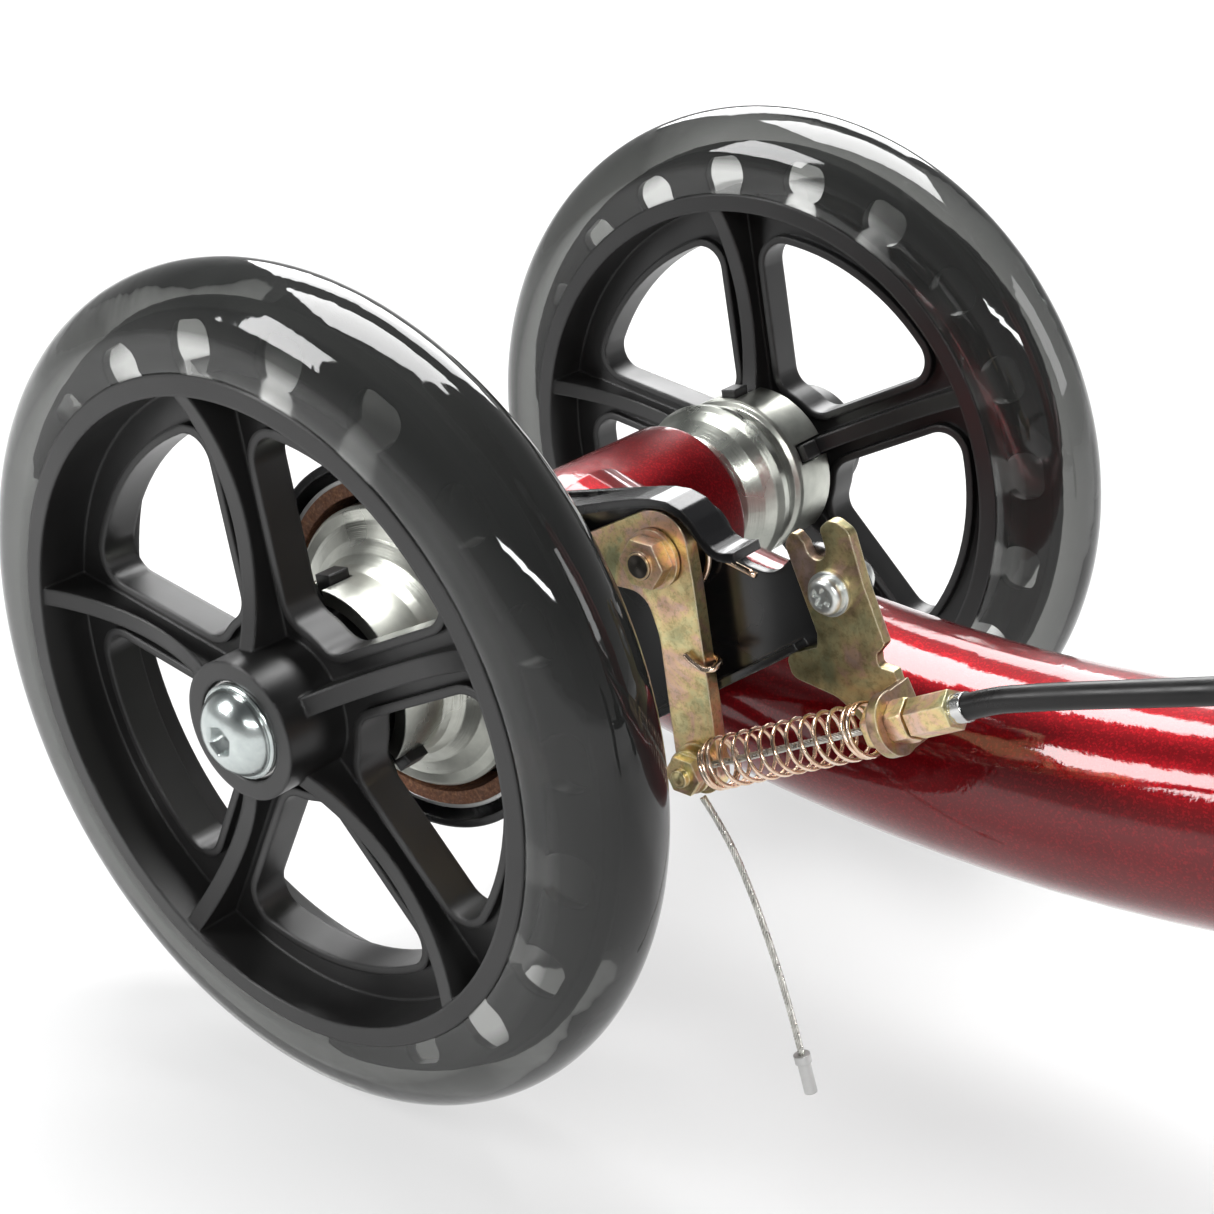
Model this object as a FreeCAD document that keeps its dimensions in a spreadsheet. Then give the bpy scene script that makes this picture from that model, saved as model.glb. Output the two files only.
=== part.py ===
import FreeCAD, Part
import math
import os
import re
import Sketcher
from FreeCAD import Placement, Rotation, Vector

# A steerable knee scooter. Millimetres, +X forward, +Y to the rider's left, +Z up.
# The origin is on the ground, midway between the rear and the front axle.

os.makedirs("parts", exist_ok=True)
doc = FreeCAD.newDocument("KneeScooter")
sheet = doc.addObject("Spreadsheet::Sheet", "Sizes")

SIZES = {
    # wheels
    "wheelbase": 580, "wheel_radius": 100, "rear_track": 187.4, "front_track": 250,
    "tyre_crown": 15, "rim_bore": 74.25, "rim_outside": 79, "rim_half": 14.8,
    "flange_radius": 88, "flange_thick": 4, "web_thick": 4, "window_outside": 64.5,
    "window_inside": 23, "spoke_wide": 15, "rib_thick": 4.5, "lip_wide": 2, "lip_deep": 9,
    "boss_radius": 16.4, "boss_half": 18.6, "bearing_radius": 12, "bearing_wide": 6,
    "bearing_bore": 6.05, "spoke_angle": 99.5,
    # axles
    "axle_radius": 6, "axle_thread": 4, "bolt_head": 10.2, "bolt_dome": 5.6,
    "axle_tube_radius": 23.5, "axle_tube_half": 44, "axle_tube_wall": 3,
    # frame tubes
    "main_radius": 25.4, "main_wall": 2, "steer_rake": 12, "steer_offset": 15,
    "head_low": 95, "head_high": 205, "head_radius": 22, "head_bore": 17,
    # band brake
    "pan_radius": 46.7, "pan_sheet": 2, "pan_deep": 15, "band_radius": 42, "band_thick": 1,
    "lining_thick": 3.4, "lining_wide": 12, "drum_radius": 35.5, "drum_neck": 23,
    "drum_neck_bore": 19.5, "arm_front": 54, "arm_thick": 3.5,
    # cable
    "casing_radius": 2.6, "wire_radius": 0.8, "cable_plane": 56, "cable_rise": 28.5,
    "spring_radius": 5.8, "tab_reach": 55.5,
    # knee rest
    "post_x": -40, "post_radius": 19, "post_gap": 0.3, "socket_radius": 22.8,
    "socket_top": 310, "socket_floor": 124, "post_low": 150, "deck_height": 386, "deck_thick": 4,
    "pad_top": 450, "pad_long": 340, "pad_wide": 85, "pad_apart": 24, "pad_x": -55,
    # steering post, column and handlebar, along the steering axis
    "steerer_radius": 12.7, "fork_radius": 17, "fold_at": 430, "fold_back": 30,
    "column_radius": 17.5, "column_top": 640, "column_bore": 14.6, "stem_radius": 14.3,
    "stem_low": 510, "bar_at": 770, "bar_radius": 11, "bar_half": 215,
    "grip_radius": 16.5, "grip_long": 128,
}
for row, (alias, number) in enumerate(SIZES.items(), start=1):
    sheet.set(f"A{row}", alias)
    sheet.set(f"B{row}", str(number))
    sheet.setAlias(f"B{row}", alias)
doc.recompute()

subparts = {}


# ---------------------------------------------------------------- helpers

def size(text):
    """The value of an expression on the sheet."""
    return float(sheet.evalExpression(str(text)))


def bound(text):
    """The same expression as the document's objects need it, with each alias led by its sheet."""
    return re.sub(r"[a-z_]+", lambda m: "Sizes." + m.group() if m.group() in SIZES else m.group(), str(text))


def bind(obj, **sizes):
    for prop, text in sizes.items():
        obj.setExpression(prop, bound(text))
    return obj


def put(obj, at, direction=(0, 0, 1)):
    """Stands an object at a point, given as three expressions, with its own Z along a direction."""
    obj.Placement = Placement(Vector(*[size(c) for c in at]), Rotation(Vector(0, 0, 1), Vector(*direction)))
    for axis, text in zip("xyz", at):
        obj.setExpression(f"Placement.Base.{axis}", bound(text))
    return obj


def cylinder(radius, length, at, direction=(0, 1, 0)):
    obj = doc.addObject("Part::Cylinder", "Cylinder")
    bind(obj, Radius=radius, Height=length)
    return put(obj, at, direction)


def cut(base, *tools):
    for tool in tools:
        obj = doc.addObject("Part::Cut", "Cut")
        obj.Base, obj.Tool = base, tool
        base = obj
    return base


def fuse(*pieces):
    obj = doc.addObject("Part::MultiFuse", "Fuse")
    obj.Shapes = list(pieces)
    return obj


def ring(outside, inside, length, at, direction=(0, 1, 0)):
    return cut(cylinder(outside, length, at, direction), cylinder(inside, length, at, direction))


def feature(shape, name="Shape"):
    obj = doc.addObject("Part::Feature", name)
    obj.Shape = shape
    obj.Placement = shape.Placement
    return obj


def turned(name, profile, at, direction=(0, 1, 0)):
    """A body turned from a closed profile of (radius, height along its axis) corners, each bound to the sheet."""
    body = doc.addObject("PartDesign::Body", name)
    plane = next(f for f in body.Origin.OriginFeatures if f.Role == "XZ_Plane")
    sketch = body.newObject("Sketcher::SketchObject", name + "_profile")
    sketch.AttachmentSupport = [(plane, "")]
    sketch.MapMode = "FlatFace"
    corners = [Vector(size(r), size(h), 0) for r, h in profile]
    count = len(corners)
    for i in range(count):
        sketch.addGeometry(Part.LineSegment(corners[i], corners[(i + 1) % count]), False)
    for i in range(count):
        sketch.addConstraint(Sketcher.Constraint("Coincident", i, 2, (i + 1) % count, 1))
    for i, (radius, height) in enumerate(profile):
        for kind, text, start in (("DistanceX", radius, corners[i].x), ("DistanceY", height, corners[i].y)):
            index = sketch.addConstraint(Sketcher.Constraint(kind, -1, 1, i, 1, start))
            sketch.setExpression(f"Constraints[{index}]", bound(text))
    turn = body.newObject("PartDesign::Revolution", name + "_turn")
    turn.Profile = sketch
    turn.ReferenceAxis = (sketch, ["V_Axis"])
    turn.Angle = 360
    body.Tip = turn
    return put(body, at, direction)


def group(*pieces):
    """Separate solids that share one node."""
    doc.recompute()
    return feature(Part.makeCompound([solid for p in pieces for solid in p.Shape.Solids]))


def subpart(node, obj):
    obj.Label = node
    subparts[node] = obj


def outline(corners):
    """A closed face in the XZ plane through (x, z, corner radius) corners, with tangent arcs."""
    count = len(corners)
    starts, ends, arcs = [], [], []
    for i in range(count):
        here, radius = Vector(corners[i][0], 0, corners[i][1]), corners[i][2]
        before = Vector(corners[i - 1][0], 0, corners[i - 1][1]) - here
        after = Vector(corners[(i + 1) % count][0], 0, corners[(i + 1) % count][1]) - here
        before.normalize()
        after.normalize()
        half = before.getAngle(after) / 2
        run = radius / math.tan(half)
        middle = (before + after)
        middle.normalize()
        centre = here + middle * (radius / math.sin(half))
        starts.append(here + before * run)
        ends.append(here + after * run)
        arcs.append(None if radius == 0 else Part.Arc(starts[i], centre - middle * radius, ends[i]))
    edges = []
    for i in range(count):
        if arcs[i]:
            edges.append(arcs[i].toShape())
        follow = starts[(i + 1) % count]
        if ends[i].distanceToPoint(follow) > 1e-6:
            edges.append(Part.LineSegment(ends[i], follow).toShape())
    return Part.Face(Part.Wire(edges))


def plate(corners, near, far):
    """The outline between two planes across Y."""
    face = outline(corners)
    face.translate(Vector(0, near, 0))
    return face.extrude(Vector(0, far - near, 0))


def rod(start, end, radius):
    axis = end - start
    return Part.makeCylinder(radius, axis.Length, start, axis)


def hexagon(across_flats, start, end):
    """A hexagonal prism between two points."""
    axis = end - start
    corner = across_flats / math.sqrt(3)
    points = [Vector(corner * math.cos(math.radians(60 * k)), corner * math.sin(math.radians(60 * k)), 0)
              for k in range(7)]
    prism = Part.Face(Part.makePolygon(points)).extrude(Vector(0, 0, axis.Length))
    chamfer = Part.makeSphere(corner * 1.02 + 0.02, Vector(0, 0, axis.Length / 2))
    if axis.Length < corner * 1.6:
        prism = prism.common(chamfer)
    prism.Placement = Placement(start, Rotation(Vector(0, 0, 1), axis))
    return prism


def route(points):
    """Straight runs joined by tangent arcs, each as large as its two runs allow. Returns the wire and the radii."""
    runs = [(b - a) for a, b in zip(points, points[1:])]
    edges, radii, last = [], [], points[0]
    for i in range(1, len(points) - 1):
        before, after = runs[i - 1] * -1, runs[i] * 1
        reach = 0.45 * min(before.Length, after.Length)
        before.normalize()
        after.normalize()
        half = before.getAngle(after) / 2
        radius = reach * math.tan(half)
        middle = before + after
        middle.normalize()
        start, end = points[i] + before * reach, points[i] + after * reach
        top = points[i] + middle * (radius / math.sin(half) - radius)
        edges.append(Part.LineSegment(last, start).toShape())
        edges.append(Part.Arc(start, top, end).toShape())
        radii.append(radius)
        last = end
    edges.append(Part.LineSegment(last, points[-1]).toShape())
    return Part.Wire(edges), radii


def further(points, distance):
    """A point in line with the last run of a route."""
    way = points[-1] - points[-2]
    way.normalize()
    return points[-1] + way * distance


def tube_along(wire, radius, bore=0.0):
    """A round tube, or a solid cord, swept along a wire."""
    start = wire.Edges[0]
    place, tangent = start.valueAt(start.FirstParameter), start.tangentAt(start.FirstParameter)
    solids = []
    for r in (radius, bore):
        if r:
            circle = Part.Wire(Part.Circle(place, tangent, r).toShape())
            solids.append(wire.makePipeShell([circle], True, False))
    return solids[0].cut(solids[1]) if bore else solids[0]


def cord_solid(name, points, radius):
    """A cord's plain tube, compared with its section times its length."""
    wire, radii = route(points)
    solid = tube_along(wire, radius)
    expected = math.pi * radius ** 2 * wire.Length
    print(f"{name}: length {wire.Length:.1f}, radii {[round(r, 1) for r in radii]}, "
          f"volume ratio {solid.Volume / expected:.4f}")
    return feature(solid)


def at_rear(x, y, z):
    """A point given from the middle of the rear axle."""
    return Vector(x - size("wheelbase / 2"), y, z + size("wheel_radius"))


def from_rear(corners):
    shift = at_rear(0, 0, 0)
    return [(x + shift.x, z + shift.z, r) for x, z, r in corners]


RAKE = math.radians(size("steer_rake"))
UP_STEER = Vector(-math.sin(RAKE), 0, math.cos(RAKE))
AHEAD = Vector(math.cos(RAKE), 0, math.sin(RAKE))
STEER_FOOT = Vector(size("wheelbase / 2 - steer_offset"), 0, size("wheel_radius"))


def steer(along, ahead=0.0, left=0.0):
    """A point by its distance along the steering axis, ahead of it, and to the left."""
    return STEER_FOOT + UP_STEER * along + AHEAD * ahead + Vector(0, left, 0)


# ---------------------------------------------------------------- wheels

def wheel_rim(x, y):
    """A five-spoke rim: band, embedded flange with oblong holes, web with lipped windows, ribs and hub boss."""
    centre = Vector(x, y, size("wheel_radius"))
    across = Vector(0, 1, 0)

    def disc(radius, half):
        return Part.makeCylinder(radius, 2 * half, centre - across * half, across)

    def turn(shape, degrees):
        copy = shape.copy()
        copy.rotate(centre, across, -degrees)
        return copy

    half_web, lip = size("web_thick / 2"), size("lip_deep / 2")
    window_in, window_out = size("window_inside"), size("window_outside")

    def windows(grow, half, corner):
        """Five rounded windows between the spokes, grown outwards by a margin."""
        sector = disc(window_out + grow, half).cut(disc(window_in - grow, half))
        wide = size("spoke_wide") - 2 * grow
        bar = Part.makeBox(120, 2 * half, wide, centre + Vector(0, -half, -wide / 2))
        for k in range(5):
            sector = sector.cut(turn(bar, size("spoke_angle") + 72 * k))
        rounded = []
        for solid in sector.Solids:
            upright = [e for e in solid.Edges if abs(e.BoundBox.YLength - 2 * half) < 1e-3]
            rounded.append(solid.makeFillet(corner, upright))
        return rounded

    band = disc(size("rim_outside"), size("rim_half")).cut(disc(size("rim_bore"), size("rim_half")))
    flange = disc(size("flange_radius"), size("flange_thick / 2")).cut(disc(size("rim_bore"), 3))
    hole = Part.makeBox(8, 10, 4.6, centre + Vector(78.5, -5, -2.3))
    hole = hole.fuse([Part.makeCylinder(4, 10, centre + Vector(82.5, -5, side * 2.3), across) for side in (-1, 1)])
    flange = flange.cut([turn(hole, size("spoke_angle") + 18 * k) for k in range(20)])
    web = disc(size("rim_bore + 0.5"), half_web)
    lips = windows(size("lip_wide"), lip, 8.5)
    boss = disc(size("boss_radius"), size("boss_half"))
    # a rib stands across the web: deep at the boss and the band, shallow between them
    deep, shallow, inner, outer = 14.3, 6, 12, size("rim_bore + 1")
    bow = [Part.Arc(Vector(inner, s * deep, 0), Vector(44, s * shallow, 0), Vector(outer, s * deep, 0)) for s in (1, -1)]
    side_in = Part.LineSegment(Vector(inner, -deep, 0), Vector(inner, deep, 0))
    side_out = Part.LineSegment(Vector(outer, deep, 0), Vector(outer, -deep, 0))
    face = Part.Face(Part.Wire([bow[0].toShape(), side_out.toShape(), bow[1].toShape(), side_in.toShape()]))
    rib_thick = size("rib_thick")
    rib = face.extrude(Vector(0, 0, rib_thick))
    rib.translate(centre - Vector(0, 0, rib_thick / 2))
    # a drive key at the root of each rib, on the side that faces the frame
    inward = -1 if y > 0 else 1
    key = Part.makeBox(12, 6, rib_thick, centre + Vector(13, 13 if inward > 0 else -19, -rib_thick / 2))
    ribs = [turn(s, size("spoke_angle") + 72 * k) for k in range(5) for s in (rib, key)]
    rim = band.fuse([flange, web, boss] + lips + ribs)
    rim = rim.cut(windows(0, 8, 6.5))
    seat = Part.makeCylinder(size("bearing_radius"), size("bearing_wide + 1"), Vector(), across)
    bores = [disc(size("axle_radius + 2"), 20)]
    for side in (-1, 1):
        start = size("boss_half") if side < 0 else size("boss_half - bearing_wide - 1")
        bores.append(seat.translated(centre + across * (side * start)))
    return rim.cut(bores).removeSplitter()


def wheel(name, x_text, y_text):
    """One wheel: tyre, rim and its two bearings."""
    x, y = size(x_text), size(y_text)
    rim = feature(wheel_rim(x, y))
    subpart(f"rim_{name}", rim)
    centre = (x_text, y_text, "wheel_radius")
    crown = doc.addObject("Part::Torus", "Crown")
    bind(crown, Radius1="wheel_radius - tyre_crown", Radius2="tyre_crown")
    put(crown, centre, (0, 1, 0))
    walls = cylinder("wheel_radius - tyre_crown", "2 * tyre_crown - 0.2", (x_text, f"{y_text} - tyre_crown + 0.1",
                                                                   "wheel_radius"))
    bore = cylinder("rim_outside", "2 * tyre_crown", (x_text, f"{y_text} - tyre_crown", "wheel_radius"))
    flange = cylinder("flange_radius + 0.02", "flange_thick + 0.04", (x_text, f"{y_text} - flange_thick / 2 - 0.02",
                                                                      "wheel_radius"))
    tyre = cut(fuse(crown, walls), bore, flange)
    subpart(f"tyre_{name}", tyre)
    reach = "(boss_half - 1)"
    bearings = [ring("bearing_radius", "bearing_bore", "bearing_wide", (x_text, f"{y_text} {offset}", "wheel_radius"))
                for offset in (f"- {reach}", f"+ {reach} - bearing_wide")]
    subpart(f"bearings_{name}", group(*bearings))


WHEELS = {
    "rear_right": ("-wheelbase / 2", "-rear_track / 2"), "rear_left": ("-wheelbase / 2", "rear_track / 2"),
    "front_right": ("wheelbase / 2", "-front_track / 2"), "front_left": ("wheelbase / 2", "front_track / 2"),
}
for wheel_name, (wheel_x, wheel_y) in WHEELS.items():
    wheel(wheel_name, wheel_x, wheel_y)


def sleeve(x_text, y_text, length):
    """A spacer on an axle."""
    return ring("axle_radius + 2.6", "axle_radius + 0.02", length, (x_text, y_text, "wheel_radius"))


def axle_and_bolts(name, x_text, track_text, sleeves):
    """A steel axle across the scooter with its spacers, and a domed socket bolt at each end."""
    half = f"({track_text} / 2 + boss_half - 1.4)"
    shaft = cylinder("axle_radius", f"2 * {half}", (x_text, f"-{half}", "wheel_radius"))
    drilled = [cylinder("axle_thread", "20", (x_text, start, "wheel_radius")) for start in
               (f"-{half}", f"{half} - 20")]
    subpart(f"{name}_axle", group(cut(shaft, *drilled), *sleeves))
    bolts = []
    for side, sign in ((-1, "-"), (1, "")):
        out = (0, side, 0)
        base = (x_text, f"{sign}({track_text} / 2 + boss_half + 0.3)", "wheel_radius")
        head = turned("AxleBolt", [("0", "-17"), ("axle_thread - 0.05", "-17"), ("axle_thread - 0.05", "-1"),
                                   ("axle_radius + 2.4", "-1"), ("axle_radius + 2.4", "0"), ("bolt_head", "0"),
                                   ("bolt_head", "1.2"), ("bolt_head - 0.8", "bolt_dome * 0.52"),
                                   ("bolt_head - 2.6", "bolt_dome * 0.8"), ("bolt_head - 5", "bolt_dome * 0.95"),
                                   ("3.4", "bolt_dome"), ("3.2", "bolt_dome - 3"), ("0", "bolt_dome - 3")], base, out)
        bolts.append(head)
    subpart(f"{name}_axle_bolts", group(*bolts))


rear_inner = "(rear_track / 2 - boss_half + 1)"
axle_and_bolts("rear", "-wheelbase / 2", "rear_track", [
    sleeve("-wheelbase / 2", f"0.1 - {rear_inner}", f"{rear_inner} - axle_tube_half - 2.2")])
front_inner = "(front_track / 2 - boss_half + 1)"
axle_and_bolts("front", "wheelbase / 2", "front_track", [
    sleeve("wheelbase / 2", f"0.1 - {front_inner}", "7.4"),
    sleeve("wheelbase / 2", f"{front_inner} - 7.5", "7.4")])

REAR = ("-wheelbase / 2", "0", "wheel_radius")
rear_axle_x = "-wheelbase / 2"


def notched(obj, y_start, y_end):
    """Five slots across a neck for the drive keys of the rim."""
    doc.recompute()
    centre = at_rear(0, 0, 0)
    shape = obj.Shape
    slot = Part.makeBox(20, abs(y_end - y_start), size("rib_thick + 1.2"),
                        centre + Vector(12, min(y_start, y_end), -size("rib_thick + 1.2") / 2))
    for k in range(5):
        copy = slot.copy()
        copy.rotate(centre, Vector(0, 1, 0), -(size("spoke_angle") + 72 * k))
        shape = shape.cut(copy)
    return feature(shape)


# the brake drum: neck over the rim's boss, dished face, skirt inside the band
drum = turned("Drum", [
    ("drum_neck_bore", "-84"), ("drum_neck", "-84"), ("drum_neck", "-72"), ("drum_neck + 0.7", "-69.5"),
    ("drum_neck + 2.2", "-66.6"), ("drum_neck + 5", "-64"), ("drum_neck + 9", "-62.4"),
    ("drum_radius - 0.8", "-62"), ("drum_radius", "-61.2"), ("drum_radius", "-48"), ("drum_radius - 3", "-48"),
    ("drum_radius - 3", "-59"), ("drum_neck + 2", "-60"), ("drum_neck_bore", "-64"),
], REAR)
subpart("brake_drum", notched(drum, -90, -74.2))

# the left wheel's spool: boss with rings, flared disc, waist, and the notched cup
spool = turned("Spool", [
    ("6.4", "44.6"), ("13.5", "44.6"), ("14.5", "45.6"), ("14.5", "47.4"), ("13.6", "48"), ("13.6", "48.8"),
    ("15.6", "49.6"), ("15.8", "51.4"), ("18.4", "53"), ("21.6", "56.6"), ("23.4", "59.4"), ("24.2", "62.2"),
    ("23.6", "65"), ("22", "67"), ("21.2", "69"), ("21.6", "70.8"), ("22.6", "71.8"), ("23", "73"),
    ("23", "86"), ("19.5", "86"), ("19.5", "73.8"), ("6.4", "72"),
], REAR)
subpart("wheel_hub_left", notched(spool, 92, 74.2))

# ---------------------------------------------------------------- frame tubes

axle_tube = ring("axle_tube_radius", "axle_tube_radius - axle_tube_wall", "2 * axle_tube_half",
                 (rear_axle_x, "-axle_tube_half", "wheel_radius"))
plugs = [ring("axle_tube_radius - axle_tube_wall", "axle_radius + 0.02", "8", (rear_axle_x, y, "wheel_radius"))
         for y in ("-axle_tube_half", "axle_tube_half - 8")]
subpart("rear_axle_tube", fuse(axle_tube, *plugs))

# the main tube sags behind, bottoms out 120 ahead of the rear axle, then climbs to the head tube
LOW_X, LOW_Z, BACK_BEND, FRONT_BEND, CLIMB = 120, -15.6, 430, 370, math.radians(28)
low = at_rear(LOW_X, 0, LOW_Z)
back_angle = math.asin(LOW_X / BACK_BEND)


def on_bend(radius, angle):
    """A point on a bend that is level at its lowest place."""
    return low + Vector(radius * math.sin(angle), 0, radius * (1 - math.cos(angle)))


climb_start = on_bend(FRONT_BEND, CLIMB)
uphill = Vector(math.cos(CLIMB), 0, math.sin(CLIMB))
main_path = Part.Wire([
    Part.Arc(on_bend(BACK_BEND, -back_angle), on_bend(BACK_BEND, -back_angle / 2), low).toShape(),
    Part.Arc(low, on_bend(FRONT_BEND, CLIMB / 2), climb_start).toShape(),
    Part.LineSegment(climb_start, climb_start + uphill * 275).toShape(),
])
main_outer = tube_along(main_path, size("main_radius"))
main_shape = tube_along(main_path, size("main_radius"), size("main_radius - main_wall"))
axle_cope = rod(at_rear(0, -60, 0), at_rear(0, 60, 0), size("axle_tube_radius"))
head_cope = rod(steer(size("head_low - 20")), steer(size("head_high + 20")), size("head_radius"))
behind_axle = Part.makeBox(60, 80, 80, at_rear(-54, -40, -40))
ahead_of_head = Part.makeBox(80, 80, 160, Vector(0, -40, 0))
ahead_of_head.Placement = Placement(steer(size("head_low")), Rotation(Vector(0, 0, 1), UP_STEER))
main_shape = main_shape.cut([axle_cope, behind_axle, head_cope, ahead_of_head])
main_shape = max(main_shape.Solids, key=lambda s: s.Volume)
subpart("main_tube", feature(main_shape))

head_shape = rod(steer(size("head_low")), steer(size("head_high")), size("head_radius"))
head_shape = head_shape.cut(rod(steer(size("head_low")), steer(size("head_high")), size("head_bore")))
subpart("head_tube", feature(head_shape))

cups = []
for inside, outside in ((size("head_low"), size("head_low") - 3), (size("head_high"), size("head_high") + 3)):
    into = 8 if inside > outside else -8
    cup = rod(steer(inside), steer(outside), size("head_radius + 1.5"))
    cup = cup.fuse(rod(steer(inside), steer(inside + into), size("head_bore")))
    cups.append(cup.cut(rod(steer(outside), steer(inside + into), size("steerer_radius + 0.3"))))
subpart("headset_cups", feature(Part.makeCompound(cups)))

socket_shape = Part.makeCylinder(size("socket_radius"), size("socket_top - 100"), Vector(size("post_x"), 0, 100))
ears = Part.makeBox(26, 22, 26, Vector(size("post_x") + 12, -11, size("socket_top - 28")))
socket_shape = socket_shape.fuse(ears)
bore_shape = Part.makeCylinder(size("post_radius + post_gap"), 300, Vector(size("post_x"), 0, size("socket_floor + 20")))
slit = Part.makeBox(60, 3, 60, Vector(size("post_x"), -1.5, size("socket_top - 60")))
ear_x, ear_z = size("post_x + 31"), size("socket_top - 15")
ear_hole = Part.makeCylinder(3.1, 60, Vector(ear_x, -30, ear_z), Vector(0, 1, 0))
socket_shape = socket_shape.cut([bore_shape, slit, ear_hole, main_outer])
socket_shape = max(socket_shape.Solids, key=lambda s: s.BoundBox.ZMax)
subpart("knee_post_socket", feature(socket_shape))

# ---------------------------------------------------------------- band brake

PIVOT = (70.5, 38.3)
CLAMP = (81.3, -8)
SCREW = (110.3, 38.5)
STRAP_PIN = (45.8, 33.2)
pan_radius, sheet_thick = size("pan_radius"), size("pan_sheet")
BACK = -size("axle_tube_half")
BACK_FACE = BACK - sheet_thick


def ring_arc(outside, inside, near, far, start, stop):
    """Part of a ring about the rear axle between two planes and two angles, counted from ahead towards up."""
    sector = Part.makeCylinder(outside, far - near, Vector(), Vector(0, 0, 1), stop - start)
    sector = sector.cut(Part.makeCylinder(inside, far - near))
    sector.rotate(Vector(), Vector(0, 0, 1), start)
    sector.rotate(Vector(), Vector(1, 0, 0), 90)
    return sector.translated(at_rear(0, far, 0))


def strip(points, thick, near, far):
    """A bent strip of sheet that stands on the XZ line through the given points."""
    runs = []
    for a, b in zip(points, points[1:]):
        start, end = at_rear(a[0], near, a[1]), at_rear(b[0], near, b[1])
        side = Vector(-(end - start).z, 0, (end - start).x)
        side.normalize()
        side *= thick / 2
        face = Part.Face(Part.makePolygon([start - side, end - side, end + side, start + side, start - side]))
        runs.append(face.extrude(Vector(0, far - near, 0)))
        runs.append(Part.makeCylinder(thick / 2, far - near, end, Vector(0, 1, 0)))
    return runs[0].fuse(runs[1:-1])


lining_far, lining_near = -48, -48 - size("lining_wide")


def across(spot, near, far, radius):
    """A round piece along Y at a spot given from the rear axle."""
    return rod(at_rear(spot[0], near, spot[1]), at_rear(spot[0], far, spot[1]), radius)


def across_hex(spot, near, far, flats):
    return hexagon(flats, at_rear(spot[0], near, spot[1]), at_rear(spot[0], far, spot[1]))


back_disc = rod(at_rear(0, BACK_FACE, 0), at_rear(0, BACK, 0), pan_radius)
back_arm = plate(from_rear([
    (20, 38, 0), (64, 49.6, 14), (80.5, 48.6, 7), (86.5, 38.2, 5), (95, 37.4, 6), (103, 47.2, 6), (117.5, 45, 8),
    (117.8, 31.8, 7),
    (103.5, 23.5, 3), (80, 6.2, 8), (42, -20, 0), (0, 0, 0),
]), BACK_FACE, BACK)
pan_wall = ring_arc(pan_radius, pan_radius - sheet_thick, BACK_FACE - size("pan_deep"), BACK_FACE, 53, 338)
hood = strip([(27, 38.1), (46, 42.9), (60, 47.8), (66, 49.7), (70, 50.6), (74, 50.9), (77.5, 50), (80.3, 48), (83, 45.2),
              (85, 43.6), (87, 42.9), (89, 43), (91.4, 43.7)], sheet_thick, BACK_FACE - 9, BACK_FACE)
arm_lip = strip([(44, -17.8), (62, -5.6), (80, 7.8), (103, 24.8)], 1.6, BACK_FACE - 3.9, BACK_FACE)
housing = back_disc.fuse([back_arm, pan_wall, hood, arm_lip])
housing_holes = [rod(at_rear(0, -50, 0), at_rear(0, -40, 0), size("axle_radius + 0.05")),
                 rod(at_rear(PIVOT[0], -50, PIVOT[1]), at_rear(PIVOT[0], -40, PIVOT[1]), 3.05),
                 rod(at_rear(SCREW[0], -50, SCREW[1]), at_rear(SCREW[0], -40, SCREW[1]), 2.55)]
subpart("brake_housing", feature(housing.cut(housing_holes).removeSplitter()))

band_inside = size("band_radius - band_thick")
band = ring_arc(size("band_radius"), band_inside, lining_near, lining_far, 64, 348)
strap = strip([(17.1, 37.8), (32, 33.6), (43.4, 30.4)], 1, lining_near, -54.6)
eye = across(STRAP_PIN, lining_near, -54.6, 3.9).cut(across(STRAP_PIN, lining_near, -54.6, 2.9))
subpart("brake_band", feature(band.fuse([strap, eye])))
lining = ring_arc(band_inside, band_inside - size("lining_thick"), lining_near, lining_far, 72, 342)
subpart("brake_lining", feature(lining))

front, thick = -size("arm_front"), size("arm_thick")
pivot_bolt = across(PIVOT, -60.2, BACK, 3).fuse(across_hex(PIVOT, BACK, BACK + 4, 10))
pivot_nut = across_hex(PIVOT, front - 5.2, front - 1.6, 10).cut(across(PIVOT, -62, -40, 3.02))
pivot_washers = [across(PIVOT, front - 1.5, front - 0.3, 6.6), across(PIVOT, front - 1.5 - 3.9, front - 5.25, 4.3)]
pivot_washers = [w.cut(across(PIVOT, -62, -40, 3.02)) for w in pivot_washers]
spacer = across(PIVOT, front + thick + 0.3, BACK_FACE, 5).cut(across(PIVOT, -62, -40, 3.02))
subpart("lever_pivot_bolt", feature(Part.makeCompound([pivot_bolt, pivot_nut, pivot_washers[0], spacer])))

# the bell-crank: one leg down to the cable clamp, one leg back to the end of the band
arm_face = plate(from_rear([
    (34, 37.2, 4), (47, 36.4, 14), (69.5, 49.2, 8), (77.6, 47.6, 7), (80.2, 34.5, 30), (87.8, -14.5, 5.6),
    (76, -15, 5.6), (71.2, 20, 20), (67.5, 29.2, 6), (52, 28.5, 14), (34, 25.5, 4),
]), front, front + thick)
arm_holes = [across(PIVOT, -60, -45, 3.05), across(CLAMP, -60, -45, 2.05)]
arm_face = arm_face.cut(arm_holes).fuse(across(STRAP_PIN, -61, front + 1, 2.5))
subpart("brake_arm", feature(arm_face))

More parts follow.
